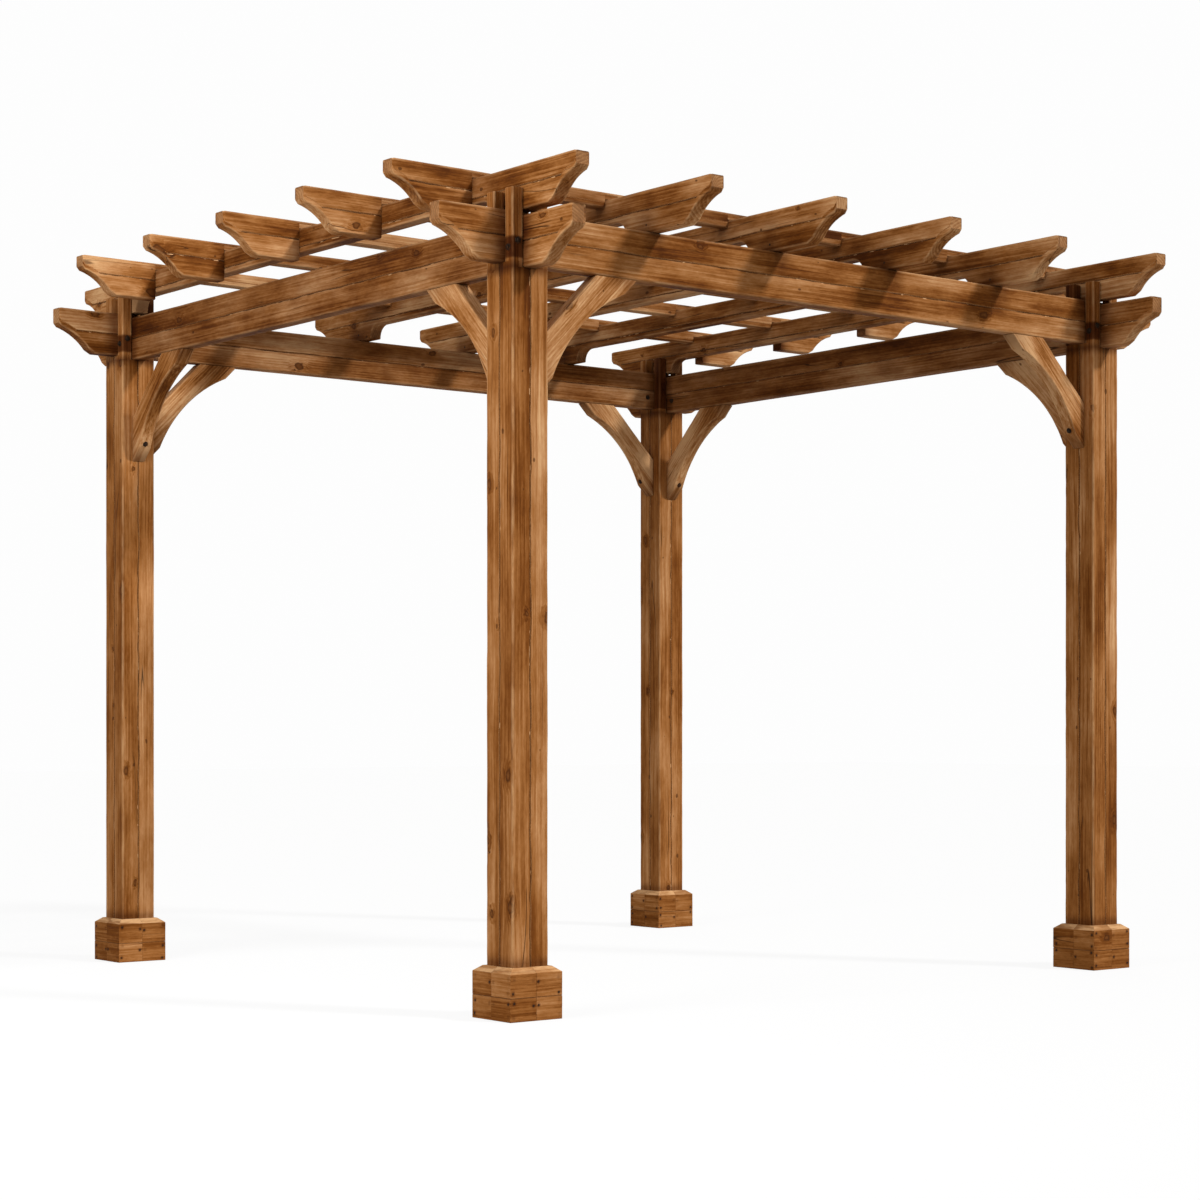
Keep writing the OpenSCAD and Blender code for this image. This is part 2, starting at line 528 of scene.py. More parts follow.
@dataclass
class Loft:
    """Skin over a row of stations of one timber.

    Attributes:
        timber: The timber.
        stations: The cuts across it, in order.
        section: The cross-section that it keeps.
        round_ends: Whether its start and its end are rounded off.
        warp: A last change to its points, if there is one.
        fill: Lines of points between an edge and a glue seam.
    """

    timber: Timber
    stations: list[Station]
    section: Section
    round_ends: tuple[bool, bool] = (True, True)
    warp: Warp | None = None
    fill: int = 3

    def columns(self, height: Array, base: Array, travel: Array) -> list[Column]:
        """Lays out the lines of points round the section.

        Args:
            height: Height of each station.
            base: Level of each station's low end.
            travel: Place of each station along the fibres.

        Returns:
            The lines, anticlockwise as seen from the start.
        """
        sec, seed = self.section, self.timber.seed
        zero, edge = np.zeros_like(height), sec.edge_wear
        size = np.minimum(sec.arris, sec.arris_share * height)
        room = sec.flank * size + 2.0 * sec.groove
        stray = sec.wander * (2.0 * Ripple(f"{seed} stray", Wave.STRAY).at(travel) - 1.0)
        wanted = height / 2.0 if sec.seam_rise is None else sec.seam_rise + stray - base
        middle = np.clip(wanted, room, np.maximum(height - room, room))
        shown = (np.abs(middle - wanted) < TINY) * float(sec.seam_rise is not None)
        drift = sec.wander * (2.0 * Ripple(f"{seed} drift", Wave.DRIFT).at(travel) - 1.0)
        centre = (sec.near + sec.far) / 2.0 if sec.seam_side is None else sec.seam_side + drift
        split = float(sec.seam_side is not None)
        near, far, bevel = zero + sec.near, zero + sec.far, sec.bevel * size
        rises = self.ladder((zero, height), middle, size, shown, self.fill)
        sides = self.ladder((near, far), zero + centre, size, zero + split, 1)

        ring = [Column(r, far, (0, -1), w, s, u, True, Face.FAR) for r, w, s, u in rises]
        ring.append(Column(height - bevel, far - bevel, (-1, -1), edge, zero, True, True, Face.TOP))
        ring += [
            Column(height, s, (-1, 0), max(w, sec.top_wear), m, True, f, Face.TOP)
            for s, w, m, f in reversed(sides)
        ]
        ring.append(Column(height - bevel, near + bevel, (-1, 1), edge, zero, True, False, Face.NEAR))
        ring += [Column(r, near, (0, 1), w, s, u, False, Face.NEAR) for r, w, s, u in reversed(rises)]
        ring.append(Column(bevel, near + bevel, (1, 1), edge, zero, False, False, Face.BOTTOM))
        ring += [Column(zero, s, (1, 0), w, m, False, f, Face.BOTTOM) for s, w, m, f in sides]
        ring.append(Column(bevel, far - bevel, (1, -1), edge, zero, False, True, Face.BOTTOM))
        return ring

    def ladder(self, edges: Ends, middle: Array, size: Array, seam: Array, fill: int) -> list[Rung]:
        """Sets out lines of points over one face, from edge to edge.

        Args:
            edges: Places of the two edges.
            middle: Place of the glue seam.
            size: Size of the arrises.
            seam: How much of the glue seam there is, from 0 to 1.
            fill: Lines between an edge and the glue seam.

        Returns:
            The place, the wear and the share of the seam of each line, and whether it is beyond the seam.
        """
        sec, (low, high) = self.section, edges
        zero, rim, flank = np.zeros_like(size), sec.rim_wear * sec.edge_wear, sec.flank * size
        first, last = low + flank, high - flank
        before, after = middle - sec.groove, middle + sec.groove
        parts = [k / (fill + 1) for k in range(1, fill + 1)]
        lines: list[Rung] = [(low + size, rim, zero, False), (first, 0.0, zero, False)]
        lines += [(first + (before - first) * k, 0.0, zero, False) for k in parts]
        lines += [(before, 0.0, zero, False), (middle, 0.0, seam, False), (after, 0.0, zero, True)]
        lines += [(after + (last - after) * k, 0.0, zero, True) for k in parts]
        lines += [(last, 0.0, zero, True), (high - size, rim, zero, True)]
        return lines

    def rows(self) -> tuple[Array, Array, Array]:
        """Works out the cuts, with extra ones for a soft rim round the face of each end.

        Returns:
            Low ends, high ends, and how far each cut is drawn in.
        """
        low = np.array([s.low for s in self.stations])
        high = np.array([s.high for s in self.stations])
        inset = np.zeros(len(low))
        size, bevel = self.section.arris, self.section.bevel
        for rounded in self.round_ends:
            if rounded:
                way = (low[1] + high[1]) - (low[0] + high[0])
                way = way / np.linalg.norm(way)
                rim, flat = way * bevel * size, way * size
                low, high = (
                    np.vstack([line[0] + flat, line[0] + rim, line[0] + flat, line[1:]])
                    for line in (low, high)
                )
                inset = np.concatenate([[self.section.drawn_in * size, bevel * size], inset])
            low, high, inset = low[::-1], high[::-1], inset[::-1]
        return low, high, inset

    def skin(self) -> Skin:
        """Builds the skin.

        Returns:
            Points, faces and marks, in the world.
        """
        sec, timber = self.section, self.timber
        low, high, inset = self.rows()
        height = np.linalg.norm(high - low, axis=1)
        way = (high - low) / height[:, None]
        travel = timber.fibres((low + high) / 2.0)[:, 0]
        ring = self.columns(height, low[:, 1], travel)
        count, rows = len(ring), len(low)
        points, sides, planes = [], [], []
        marks: dict[str, list[Array]] = {k: [] for k in MARKS}
        bounds = timber.fibres(low)[:, 1], timber.fibres(high)[:, 1]
        groove = Ripple(f"{timber.seed} groove", Wave.GROOVE).at(travel)
        opened = np.clip(groove * 2.0 - 0.3, 0.15, 1.0)
        middle = (sec.near + sec.far) / 2.0
        for column in ring:
            face = f"{timber.seed} {column.inward} {column.upper}"
            depth = sec.unevenness * Ripple(face, Wave.HOLLOW).at(travel)
            depth = depth + column.seam * sec.groove_depth * opened
            if column.wear == FULL_WEAR:
                rubbed = Ripple(f"{face} worn", Wave.WORN).at(travel)
                depth = depth + sec.arris * sec.rub * np.clip(rubbed - 0.5, 0, 1)
            rise = column.rise + column.inward[0] * depth
            side = column.side + column.inward[1] * depth
            rise = inset + rise * (height - 2.0 * inset) / height
            side = middle + (side - middle) * (sec.far - sec.near - 2.0 * inset) / (sec.far - sec.near)
            plane = low + way * rise[:, None]
            if self.warp:
                plane, side = self.warp(plane, side)
            planes.append(plane)
            sides.append(side)
            points.append(timber.place(plane, side))
            board = timber.lamella(column.upper, column.far)
            wrap = self.wrap(column.face, timber.fibres(plane)[:, 1], side, bounds)
            self.mark(marks, plane, side, board, column.wear, column.seam, wrap)
        grid = np.stack(points, axis=1).reshape(-1, 3)
        flat = {
            k: np.stack(v, axis=1).reshape((rows * count,) + v[0].shape[1:]) for k, v in marks.items()
        }
        faces = [
            [i * count + j, (i + 1) * count + j, (i + 1) * count + k, i * count + k]
            for i in range(rows - 1)
            for j, k in ((j, (j + 1) % count) for j in range(count))
        ]
        return self.capped(Skin(grid, faces, flat), planes, sides, rows, count)

    def wrap(self, face: Face, level: Array, side: Array, bounds: Ends) -> Array:
        """Measures round the timber, so that a pattern can be wrapped over its faces.

        Args:
            face: The face that a line of points lies on.
            level: Heights of the points.
            side: Places of the points across the thickness.
            bounds: Lowest and highest height at each cut.

        Returns:
            Distances round the timber.
        """
        low, high = bounds
        thickness = self.section.far - self.section.near
        return {
            Face.FAR: level,
            Face.TOP: high + self.section.far - side,
            Face.NEAR: high + thickness + high - level,
            Face.BOTTOM: high + thickness + high - low + side - self.section.near,
        }[face]

    def mark(
        self,
        marks: dict[str, list[Array]],
        plane: Array,
        side: Array,
        board: Lamella,
        wear: float,
        seam: Array,
        wrap: Array,
    ) -> None:
        """Adds the marks of one line of points.

        Args:
            marks: What is filled in.
            plane: Places in the side view.
            side: Places across the thickness.
            board: The board that the line lies on.
            wear: How exposed the line is.
            seam: How deep in a seam it is.
            wrap: Distances round the timber.
        """
        timber = self.timber
        turned = timber.fibres(plane)
        grain = np.column_stack([turned[:, 0], turned[:, 1], side])
        level = plane[:, 1] / timber.depth
        zero = np.zeros(len(plane))
        darkest = zero
        for stain in timber.stains:
            darkest = np.maximum(darkest, stain.at(turned[:, 0], level, side))
        marks["grain"].append(grain + np.array(board.shift))
        heart = grain[:, 1:] - np.array(board.pith) - np.array([timber.depth / 2.0, 0.0])
        marks["heart"].append(np.column_stack([heart, zero]))
        marks["tone"].append(np.full(len(plane), board.tone))
        marks["wear"].append(np.full(len(plane), wear))
        marks["seam"].append(seam + zero)
        marks["stain"].append(darkest)
        start = timber.start()
        marks["skin"].append(np.column_stack([turned[:, 0] + start[0], wrap + start[1], zero]))

    def capped(self, skin: Skin, planes: list[Array], sides: list[Array], rows: int, count: int) -> Skin:
        """Closes the two ends with faces of their own, on the upper board.

        Args:
            skin: The open skin.
            planes: Side view places of each line.
            sides: Thickness places of each line.
            rows: Number of cuts.
            count: Number of lines.

        Returns:
            The closed skin.
        """
        board = self.timber.lamella(True, self.section.far + self.section.near > 0.0)
        caps = []
        for row in (0, rows - 1):
            plane = np.array([p[row] for p in planes])
            side = np.array([s[row] for s in sides])
            marks: dict[str, list[Array]] = {k: [] for k in skin.marks}
            self.mark(marks, plane, side, board, CAP_WEAR, np.zeros(count), side + CAP_WRAP)
            order = list(range(count)) if row == 0 else list(range(count))[::-1]
            flat = {k: v[0] for k, v in marks.items()}
            caps.append(Skin(self.timber.place(plane, side), [order], flat))
        return Skin.joined([skin, *caps])


def mark_end_grain(piece: bpy.types.Object, fibres: Vector) -> None:
    """Writes how squarely each point of a piece is cut across its fibres.

    Args:
        piece: The piece.
        fibres: World direction of the fibres.
    """
    mesh = piece.data
    normals = np.zeros(len(mesh.vertices) * 3, np.float32)
    mesh.vertex_normals.foreach_get("vector", normals)
    across = np.abs(normals.reshape(-1, 3) @ np.array(fibres, np.float32))
    made = mesh.attributes.new("across", "FLOAT", "POINT")
    made.data.foreach_set("value", across.astype(np.float32))


@dataclass
class Profile:
    """A line in a timber's side view, with one height at each place along it.

    Attributes:
        points: Points of the line, in order along the timber.
    """

    points: list[Point]

    def cut(self, start: float, end: float, level: float) -> "Profile":
        """Cuts a square notch.

        Args:
            start: Where the notch starts.
            end: Where the notch ends.
            level: Level of the notch's floor.

        Returns:
            The notched line.
        """
        before, after = start - NOTCH_WALL, end + NOTCH_WALL
        kept = [p for p in self.points if p[0] < before or p[0] > after]
        walls = [(before, self.at(before)), (start, level), (end, level), (after, self.at(after))]
        return Profile(sorted(kept + walls))

    def at(self, along: float) -> float:
        """Reads the height at a place."""
        return float(np.interp(along, [p[0] for p in self.points], [p[1] for p in self.points]))


def stations_between(low: Profile, high: Profile, pitch: float = 0.03) -> list[Station]:
    """Cuts a timber wherever its outline turns, and at even steps between.

    Args:
        low: The underside.
        high: The top.
        pitch: Longest step.

    Returns:
        The cuts, in order.
    """
    turns = sorted({round(p[0], 6) for p in low.points + high.points})
    places: list[float] = []
    for here, there in zip(turns, turns[1:]):
        steps = max(1, math.ceil((there - here) / pitch))
        places += [here + (there - here) * k / steps for k in range(steps)]
    places.append(turns[-1])
    return [Station((u, low.at(u)), (u, high.at(u))) for u in places]


@dataclass(frozen=True)
class TailShape:
    """Shape of a timber's tail: a bevel, a hollow curve and a bevelled toe.

    Attributes:
        depth: Depth of the timber.
        tip: Height of the square tip.
        bevel: Bevel under the tip.
        ratio: Length of the curved taper for each metre of its height.
        hollow: Depth of the curve at mid length.
        toe: Length and height of the toe.
    """

    depth: float
    tip: float
    bevel: float = 0.012
    ratio: float = 1.48
    hollow: float = 0.011
    toe: Point = (0.026, 0.015)

    def underside(self, steps: int = 16) -> list[Point]:
        """Walks the underside from the tip inward.

        Args:
            steps: Steps in the curve.

        Returns:
            Points, with the tip at 0 and the timber's underside at level 0.
        """
        tip_level = self.depth - self.tip
        taper = tip_level * self.ratio
        start = Vector((self.bevel, tip_level - self.bevel))
        end = Vector((taper - self.toe[0], self.toe[1]))
        chord = end - start
        half = chord.length / 2.0
        radius = (half * half + self.hollow * self.hollow) / (2.0 * self.hollow)
        outward = Vector((chord.y, -chord.x)).normalized()
        centre = (start + end) / 2.0 + outward * (radius - self.hollow)
        first = math.atan2(start.y - centre.y, start.x - centre.x)
        last = math.atan2(end.y - centre.y, end.x - centre.x)
        points = [(0.0, tip_level)]
        for k in range(steps + 1):
            turn = first + (last - first) * k / steps
            points.append((centre.x + radius * math.cos(turn), centre.y + radius * math.sin(turn)))
        points.append((taper, 0.0))
        return points

    def bar(self, reach: float) -> tuple[Profile, Profile]:
        """Makes the outline of a timber with this tail at both ends.

        Args:
            reach: Half length of the timber.

        Returns:
            The underside and the top.
        """
        left = [(u - reach, v) for u, v in self.underside()]
        right = [(-u, v) for u, v in reversed(left)]
        return Profile(left + right), Profile([(-reach, self.depth), (reach, self.depth)])


def settle(piece: bpy.types.Object, slot: Slot, nodes: Iterable[str] = ()) -> bpy.types.Object:
    """Puts a piece on the frame.

    Args:
        piece: The piece, in place.
        slot: The record's slot, whose name goes into the log.
        nodes: CAD nodes that it stands for.

    Returns:
        The piece.
    """
    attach(piece, "root")
    for node in nodes:
        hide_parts(node)
    LOG.info("%s: %d faces on %s", piece.name, len(piece.data.polygons), slot.value)
    return piece


@dataclass
class Plan:
    """Main levels and spacings.

    Attributes:
        span: Distance between the posts' centres, along X and along Y.
        post_w: Width of a post.
        side_beam_z: Level of the side beams' underside.
        cross_beam_z: Level of the front and back beams' underside.
        beam_t: Thickness of the beams.
        beam_depth: Depth of the beams.
        horn_top: Level of the horns' tops.
        base_top: Level of the bases' tops.
        rafter_z: Level of the rafters' underside.
        rafter_t: Thickness of the rafters.
        rafter_places: Places of the rafters along X.
        slat_places: Places of the slats along Y.
    """

    span: Point
    post_w: float
    side_beam_z: float
    cross_beam_z: float
    beam_t: float
    beam_depth: float
    horn_top: float
    base_top: float
    rafter_z: float
    rafter_t: float
    rafter_places: tuple[float, ...]
    slat_places: tuple[float, ...]

    @classmethod
    def read(cls) -> "Plan":
        """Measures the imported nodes.

        Returns:
            The plan.
        """
        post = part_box("post_front_right")
        side, cross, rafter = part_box("right_beam"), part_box("front_beam"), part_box("rafter_6")
        return cls(
            span=((post[0].x + post[1].x), -(post[0].y + post[1].y)),
            post_w=post[1].x - post[0].x,
            side_beam_z=side[0].z,
            cross_beam_z=cross[0].z,
            beam_t=side[1].x - side[0].x,
            beam_depth=side[1].z - side[0].z,
            horn_top=post[1].z,
            base_top=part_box("base_upper_front_right")[1].z,
            rafter_z=rafter[0].z,
            rafter_t=rafter[1].x - rafter[0].x,
            rafter_places=tuple(middle.x for middle in cls.middles("rafter_")),
            slat_places=tuple(middle.y for middle in cls.middles("slat_")),
        )

    @staticmethod
    def middles(prefix: str) -> list[Vector]:
        """Finds the middle of every node whose name starts with a prefix, in order of their names."""
        names = sorted(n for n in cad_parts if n.startswith(prefix))
        return [sum(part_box(n), Vector()) / 2.0 for n in names]

    def post_centre(self, corner: Corner) -> Vector:
        """Finds where the centre line of a post meets the ground."""
        return Vector((corner.value[0] * self.span[0] / 2.0, corner.value[1] * self.span[1] / 2.0, 0.0))


@dataclass
class Assembly:
    """Pieces of one kind, which share a finish.

    Attributes:
        plan: Main levels and spacings.
        pieces: The pieces that are built.
    """

    plan: Plan
    pieces: list[bpy.types.Object] = field(default_factory=list, kw_only=True)

    def add_timber(self, skin: Skin, node: str, slot: Slot, fibres: Vector) -> None:
        """Adds a timber that stands for a CAD node.

        Args:
            skin: Its skin.
            node: The CAD node.
            slot: The record's slot, whose name goes into the log.
            fibres: World direction of its fibres.
        """
        piece = skin.to_object(f"{node}_timber")
        mark_end_grain(piece, fibres)
        self.pieces.append(settle(piece, slot, [node]))

    def dress(self, material: bpy.types.Material) -> None:
        """Gives every piece its finish."""
        for piece in self.pieces:
            piece.data.materials.append(material)


@dataclass
class Posts(Assembly):
    """Four square posts with forked heads.

    Attributes:
        arris: Radius of the softened edges.
        slot_gap: Clearance beside the beams.
        groove: Half width of the glue seams.
        wander: How far the glue seams stray.
        inner_dark: How dark the painted shade on the inner horns is.
        inner_fade: How far that painted shade runs out.
        shaft_pitch: Longest step between two cuts of the shaft.
        head_pitch: Longest step between two cuts of the head.
        pile: Which pile the boards come from.
    """

    arris: float = 0.0045
    slot_gap: float = 0.0003
    groove: float = 0.0042
    wander: float = 0.0042
    inner_dark: float = 1.2
    inner_fade: float = 0.02
    shaft_pitch: float = 0.03
    head_pitch: float = 0.007
    pile: int = 3

    def build(self) -> None:
        """Builds the posts."""
        for corner in Corner:
            self.post(corner)

    def post(self, corner: Corner) -> None:
        """Builds one post: a shaft, two cheeks and four horns.

        Args:
            corner: Which post.
        """
        plan, half = self.plan, self.plan.post_w / 2.0
        inner = plan.beam_t / 2.0 + self.slot_gap
        node = f"post_{corner.label}"
        # Darker bands where the post meets the base, the side beams and the rafters are painted shade with
        # some stain; the band at the head bolts is stain.
        stains = (
            Stain(plan.base_top, half=0.004, fade=0.025, strength=0.7),
            Stain(plan.side_beam_z, half=0.0, fade=0.022, strength=0.75),
            Stain(plan.side_beam_z + BOLT_RISE, half=0.028, fade=0.006, strength=1.1),
            Stain(plan.rafter_z, half=0.012, fade=0.03, strength=0.30),
        )
        seed, centre = f"{node} {self.pile}", plan.post_centre(corner)
        timber = Timber(seed, Z_AXIS, X_AXIS, centre, plan.post_w, stains, boards=(2, 2))
        # Painted shade over the inner horn, where the beams meet inside the frame.
        head_middle = (plan.cross_beam_z + plan.horn_top) / 2.0
        shade = Stain(head_middle, plan.beam_depth, self.inner_fade, self.inner_dark)
        shaded = replace(timber, stains=(*stains, shade))
        seams = Section(-half, half, self.arris, 0.0, 0.0, self.groove, wander=self.wander, top_wear=0.0)

        shaft = (0.0, plan.side_beam_z)
        parts = [self.prism(timber, shaft, (-half, half), seams, (True, False), self.shaft_pitch)]
        for side in SIDES:
            cheek = tuple(sorted((side * inner, side * half)))
            levels = (plan.side_beam_z, plan.cross_beam_z)
            parts.append(self.prism(timber, levels, cheek, seams, (False, False), self.head_pitch))
            for end in SIDES:
                horn = Section(*sorted((end * inner, end * half)), self.arris, top_wear=0.0)
                wood = shaded if (-side, -end) == corner.value else timber
                levels = (plan.cross_beam_z, plan.horn_top)
                parts.append(self.prism(wood, levels, cheek, horn, (False, True), self.head_pitch))
        self.add_timber(Skin.joined(parts), node, Slot.POST, Z_AXIS)

    @staticmethod
    def prism(
        timber: Timber,
        levels: Point,
        bounds: Point,
        section: Section,
        rounded: tuple[bool, bool],
        pitch: float,
    ) -> Skin:
        """Builds one upright length of a post, between two levels and two faces along X."""
        low, high = (Profile([(level, bound) for level in levels]) for bound in bounds)
        return Loft(timber, stations_between(low, high, pitch), section, rounded).skin()


@dataclass
class Bases(Assembly):
    """Boxed feet: two courses of half boards round each post, mitred at the corners.

    Attributes:
        slope_h: Height of the sloped top edge.
        slope_w: Width of the sloped top edge.
        slope_wear: How much paler the sloped top is drawn.
        joint: Clearance at the joints.
        arris: Radius of the softened edges.
        unevenness: Greatest depth of the hollows in the surface.
        edge_wear: How exposed the other edges are.
        pitch: Longest step between two cuts.
        crease: Angle in degrees over which an edge is sharp.
        end_off: Distance of the outer screws from the corner.
        end_levels: Levels of the outer screws, as shares of the height.
        joint_off: Distance of the inner screw from the joint in the middle.
        joint_level: Level of the inner screw, as a share of the height.
        screw_stray: How far a screw strays along the board.
        level_stray: How far a screw strays up and down, as a share of the height.
        skipped: Share of the screws that show only as a mark.
        driven_mark: How dark the mark of a screw is.
        skipped_mark: How dark the mark of a missing screw is.
    """

    slope_h: float = 0.018
    slope_w: float = 0.024
    slope_wear: float = 2.1
    joint: float = 0.0003
    arris: float = 0.0015
    unevenness: float = 0.0006
    edge_wear: float = 0.2
    pitch: float = 0.005
    crease: float = 18.0
    end_off: float = 0.013
    end_levels: Point = (0.20, 0.82)
    joint_off: float = 0.010
    joint_level: float = 0.66
    screw_stray: float = 0.003
    level_stray: float = 0.07
    skipped: float = 0.42
    driven_mark: float = 0.9
    skipped_mark: float = 0.5

    def build(self) -> None:
        """Builds both courses of every base."""
        for corner in Corner:
            for course in Course:
                self.course(f"base_{course.value}_{corner.label}")

    def course(self, node: str) -> None:
        """Builds the eight half boards of one course.

        Args:
            node: The course's CAD node.
        """
        screws = self.screws(node)
        boards = []
        for face in LEVEL_SIDES:
            for side in SIDES:
                held = [s for s in screws if s.out == face and s.side == side]
                boards.append(self.board(node, face, side, held))
        piece = Skin.joined(boards).to_object(f"{node}_boards", self.crease)
        mark_end_grain(piece, Vector((0.0, 0.0, 0.0)))
        self.pieces.append(settle(piece, Slot.BASE, [node]))

    def board(self, node: str, face: Vector, side: int, screws: list[Screw]) -> Skin:
        """Builds one half board.

        Args:
            node: The course's CAD node.
            face: Which way the board looks.
            side: Which half of that face it is.
            screws: The screws in it.

        Returns:
            Its skin.
        """
        bottom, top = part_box(node)
        centre = (bottom + top) / 2.0
        far, height = (top.x - bottom.x) / 2.0, top.z - bottom.z
        near = self.plan.post_w / 2.0 + self.joint
        sloped = Course.UPPER.value in node
        # Faint dark lines at the middle joint and at the mitre; on the lower course, painted shade along
        # the top, under the upper course. The blots round the screws are stain.
        stains: list[Darkening] = [
            Stain(0.0, half=0.0, fade=0.004, strength=0.16),
            Stain(side * far, half=0.0, fade=0.016, strength=0.22),
            Stain(0.0, far, fade=0.1, strength=0.0 if sloped else 0.95, low=0.0, sharp=46.0),
        ]
        for screw in screws:
            strength = self.driven_mark if screw.driven else self.skipped_mark
            stains.append(Blot(screw.along, screw.rise / height, height, strength=strength))
        seed, along = f"{node} {tuple(face)} {side}", Z_AXIS.cross(face)
        origin = Vector((centre.x, centre.y, bottom.z))
        timber = Timber(seed, along, Z_AXIS, origin, height, tuple(stains), boards=(1, 1))
        ends = sorted((side * self.joint, side * far))
        low, high = (Profile([(end, level) for end in ends]) for level in (0.0, height))
        section = Section(near, far, self.arris, unevenness=self.unevenness, edge_wear=self.edge_wear)
        # The sloped top is drawn paler than the faces.
        if sloped:
            section = replace(section, top_wear=self.slope_wear)
        cuts = stations_between(low, high, self.pitch)
        return Loft(timber, cuts, section, (False, False), self.shaping(far, height, sloped)).skin()

    def screws(self, node: str) -> list[Screw]:
        """Places screws near the corners and the middle of every board of one course.

        Args:
            node: The course's CAD node.

        Returns:
            The screws.
        """
        bottom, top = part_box(node)
        half = (top.x - bottom.x) / 2.0
        height = top.z - bottom.z - (self.slope_h if Course.UPPER.value in node else 0.0)
        spots = [(half - self.end_off, level) for level in self.end_levels]
        spots.append((self.joint_off, self.joint_level))
        rng = random.Random(node)
        found = []
        for out in LEVEL_SIDES:
            for side in SIDES:
                for off, level in spots:
                    along = side * (off + rng.uniform(-self.screw_stray, self.screw_stray))
                    rise = height * (level + rng.uniform(-self.level_stray, self.level_stray))
                    found.append(Screw(out, side, along, rise, rng.random() >= self.skipped))
        return found

    def shaping(self, far: float, height: float, sloped: bool) -> Warp:
        """Makes the cut that mitres a board and slopes its top.

        Args:
            far: Outer face of the board.
            height: Height of the board.
            sloped: Whether its top slopes.

        Returns:
            The cut.
        """

        def cut(plane: Array, side: Array) -> Ends:
            """Moves points of the board to where the cuts leave them.

            Args:
                plane: Points in the side view.
                side: Places across the thickness.

            Returns:
                The moved points and their places across the thickness.
            """
            along = plane[:, 0] * side / far
            rise = plane[:, 1]
            if sloped:
                run = np.clip((side - (far - self.slope_w)) / self.slope_w, 0.0, 1.0)
                rise = rise * (height - self.slope_h * run) / height
            return np.column_stack([along, rise]), side

        return cut


@dataclass
class TailedTimbers(Assembly):
    """Timbers with a shaped tail at both ends.

    Attributes:
        tip: Height of the square tip of a tail.
        arris: Radius of the softened edges.
        seam: Level of the glue seam, as a share of the depth.
        gap: Clearance at laps and notches.
        inner_dark: How dark the painted shade is on the inside of the frame, under the roof.
    """

    tip: float = 0.044
    arris: float = 0.004
    seam: float = 0.53
    gap: float = 0.0003
    inner_dark: float = 0.50

    def add_bar(self, timber: Timber, low: Profile, high: Profile, half: float, slot: Slot) -> None:
        """Adds one timber, whose seed is the name of its CAD node.

        Args:
            timber: The timber.
            low: Its underside.
            high: Its top.
            half: Half of its thickness.
            slot: The record's slot, whose name goes into the log.
        """
        section = Section(-half, half, self.arris, timber.depth * self.seam)
        skin = Loft(timber, stations_between(low, high), section).skin()
        self.add_timber(skin, timber.seed, slot, timber.along)


@dataclass
class Beams(TailedTimbers):
    """Front, back, left and right beam, half-lapped where they cross in the posts.

    Attributes:
        cross_dark: How dark the painted shade is on the front and back beams between the posts.
        side_dark: How dark the painted shade is on the side beams between the posts.
    """

    tip: float = 0.060
    arris: float = 0.0042
    seam: float = 0.5
    inner_dark: float = 0.56
    cross_dark: float = 0.12
    side_dark: float = 0.52

    def build(self) -> None:
        """Builds the four beams."""
        for node, side in (("front_beam", -1), ("back_beam", 1)):
            self.beam(node, X_AXIS, side * self.plan.span[1] / 2.0)
        for node, side in (("left_beam", -1), ("right_beam", 1)):
            self.beam(node, Y_AXIS, side * self.plan.span[0] / 2.0)

    def beam(self, node: str, along: Vector, offset: float) -> None:
        """Builds one beam.

        Args:
            node: Its CAD node.
            along: Which way it runs.
            offset: How far it is from the middle.
        """
        plan = self.plan
        cross = along == X_AXIS
        bottom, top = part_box(node)
        reach = (top.x - bottom.x if cross else top.y - bottom.y) / 2.0
        span = plan.span[0] if cross else plan.span[1]
        lap = (plan.cross_beam_z + plan.side_beam_z + plan.beam_depth) / 2.0 - bottom.z
        half_lap = plan.beam_t / 2.0 + self.gap
        low, high = TailShape(plan.beam_depth, self.tip).bar(reach)
        for side in SIDES:
            start, end = side * span / 2.0 - half_lap, side * span / 2.0 + half_lap
            if cross:
                low = low.cut(start, end, lap)
            else:
                high = high.cut(start, end, lap)
        # Painted shade with some stain beside the posts; painted shade on the inner face and along the
        # length between the posts; on the front and back beams, painted shade beside each rafter.
        stains = [Stain(s * span / 2.0, plan.post_w / 2.0, fade=0.055, strength=0.92) for s in SIDES]
        inner = -1 if (X_AXIS + Y_AXIS).dot(along.cross(Z_AXIS)) * offset > 0.0 else 1
        outer_painted_shade = self.cross_dark if cross else self.side_dark
        stains.append(Stain(0.0, span / 2.0, fade=0.06, strength=self.inner_dark, low=0.8, facing=inner))
        stains.append(Stain(0.0, span / 2.0, fade=0.06, strength=outer_painted_shade))
        if cross:
            half = plan.rafter_t / 2.0
            stains += [Stain(x, half, fade=0.03, strength=0.6, low=0.0) for x in plan.rafter_places]
        origin = Vector((0.0, offset, bottom.z)) if cross else Vector((offset, 0.0, bottom.z))
        timber = Timber(node, along, Z_AXIS, origin, plan.beam_depth, tuple(stains))
        self.add_bar(timber, low, high, plan.beam_t / 2.0, Slot.BEAM)


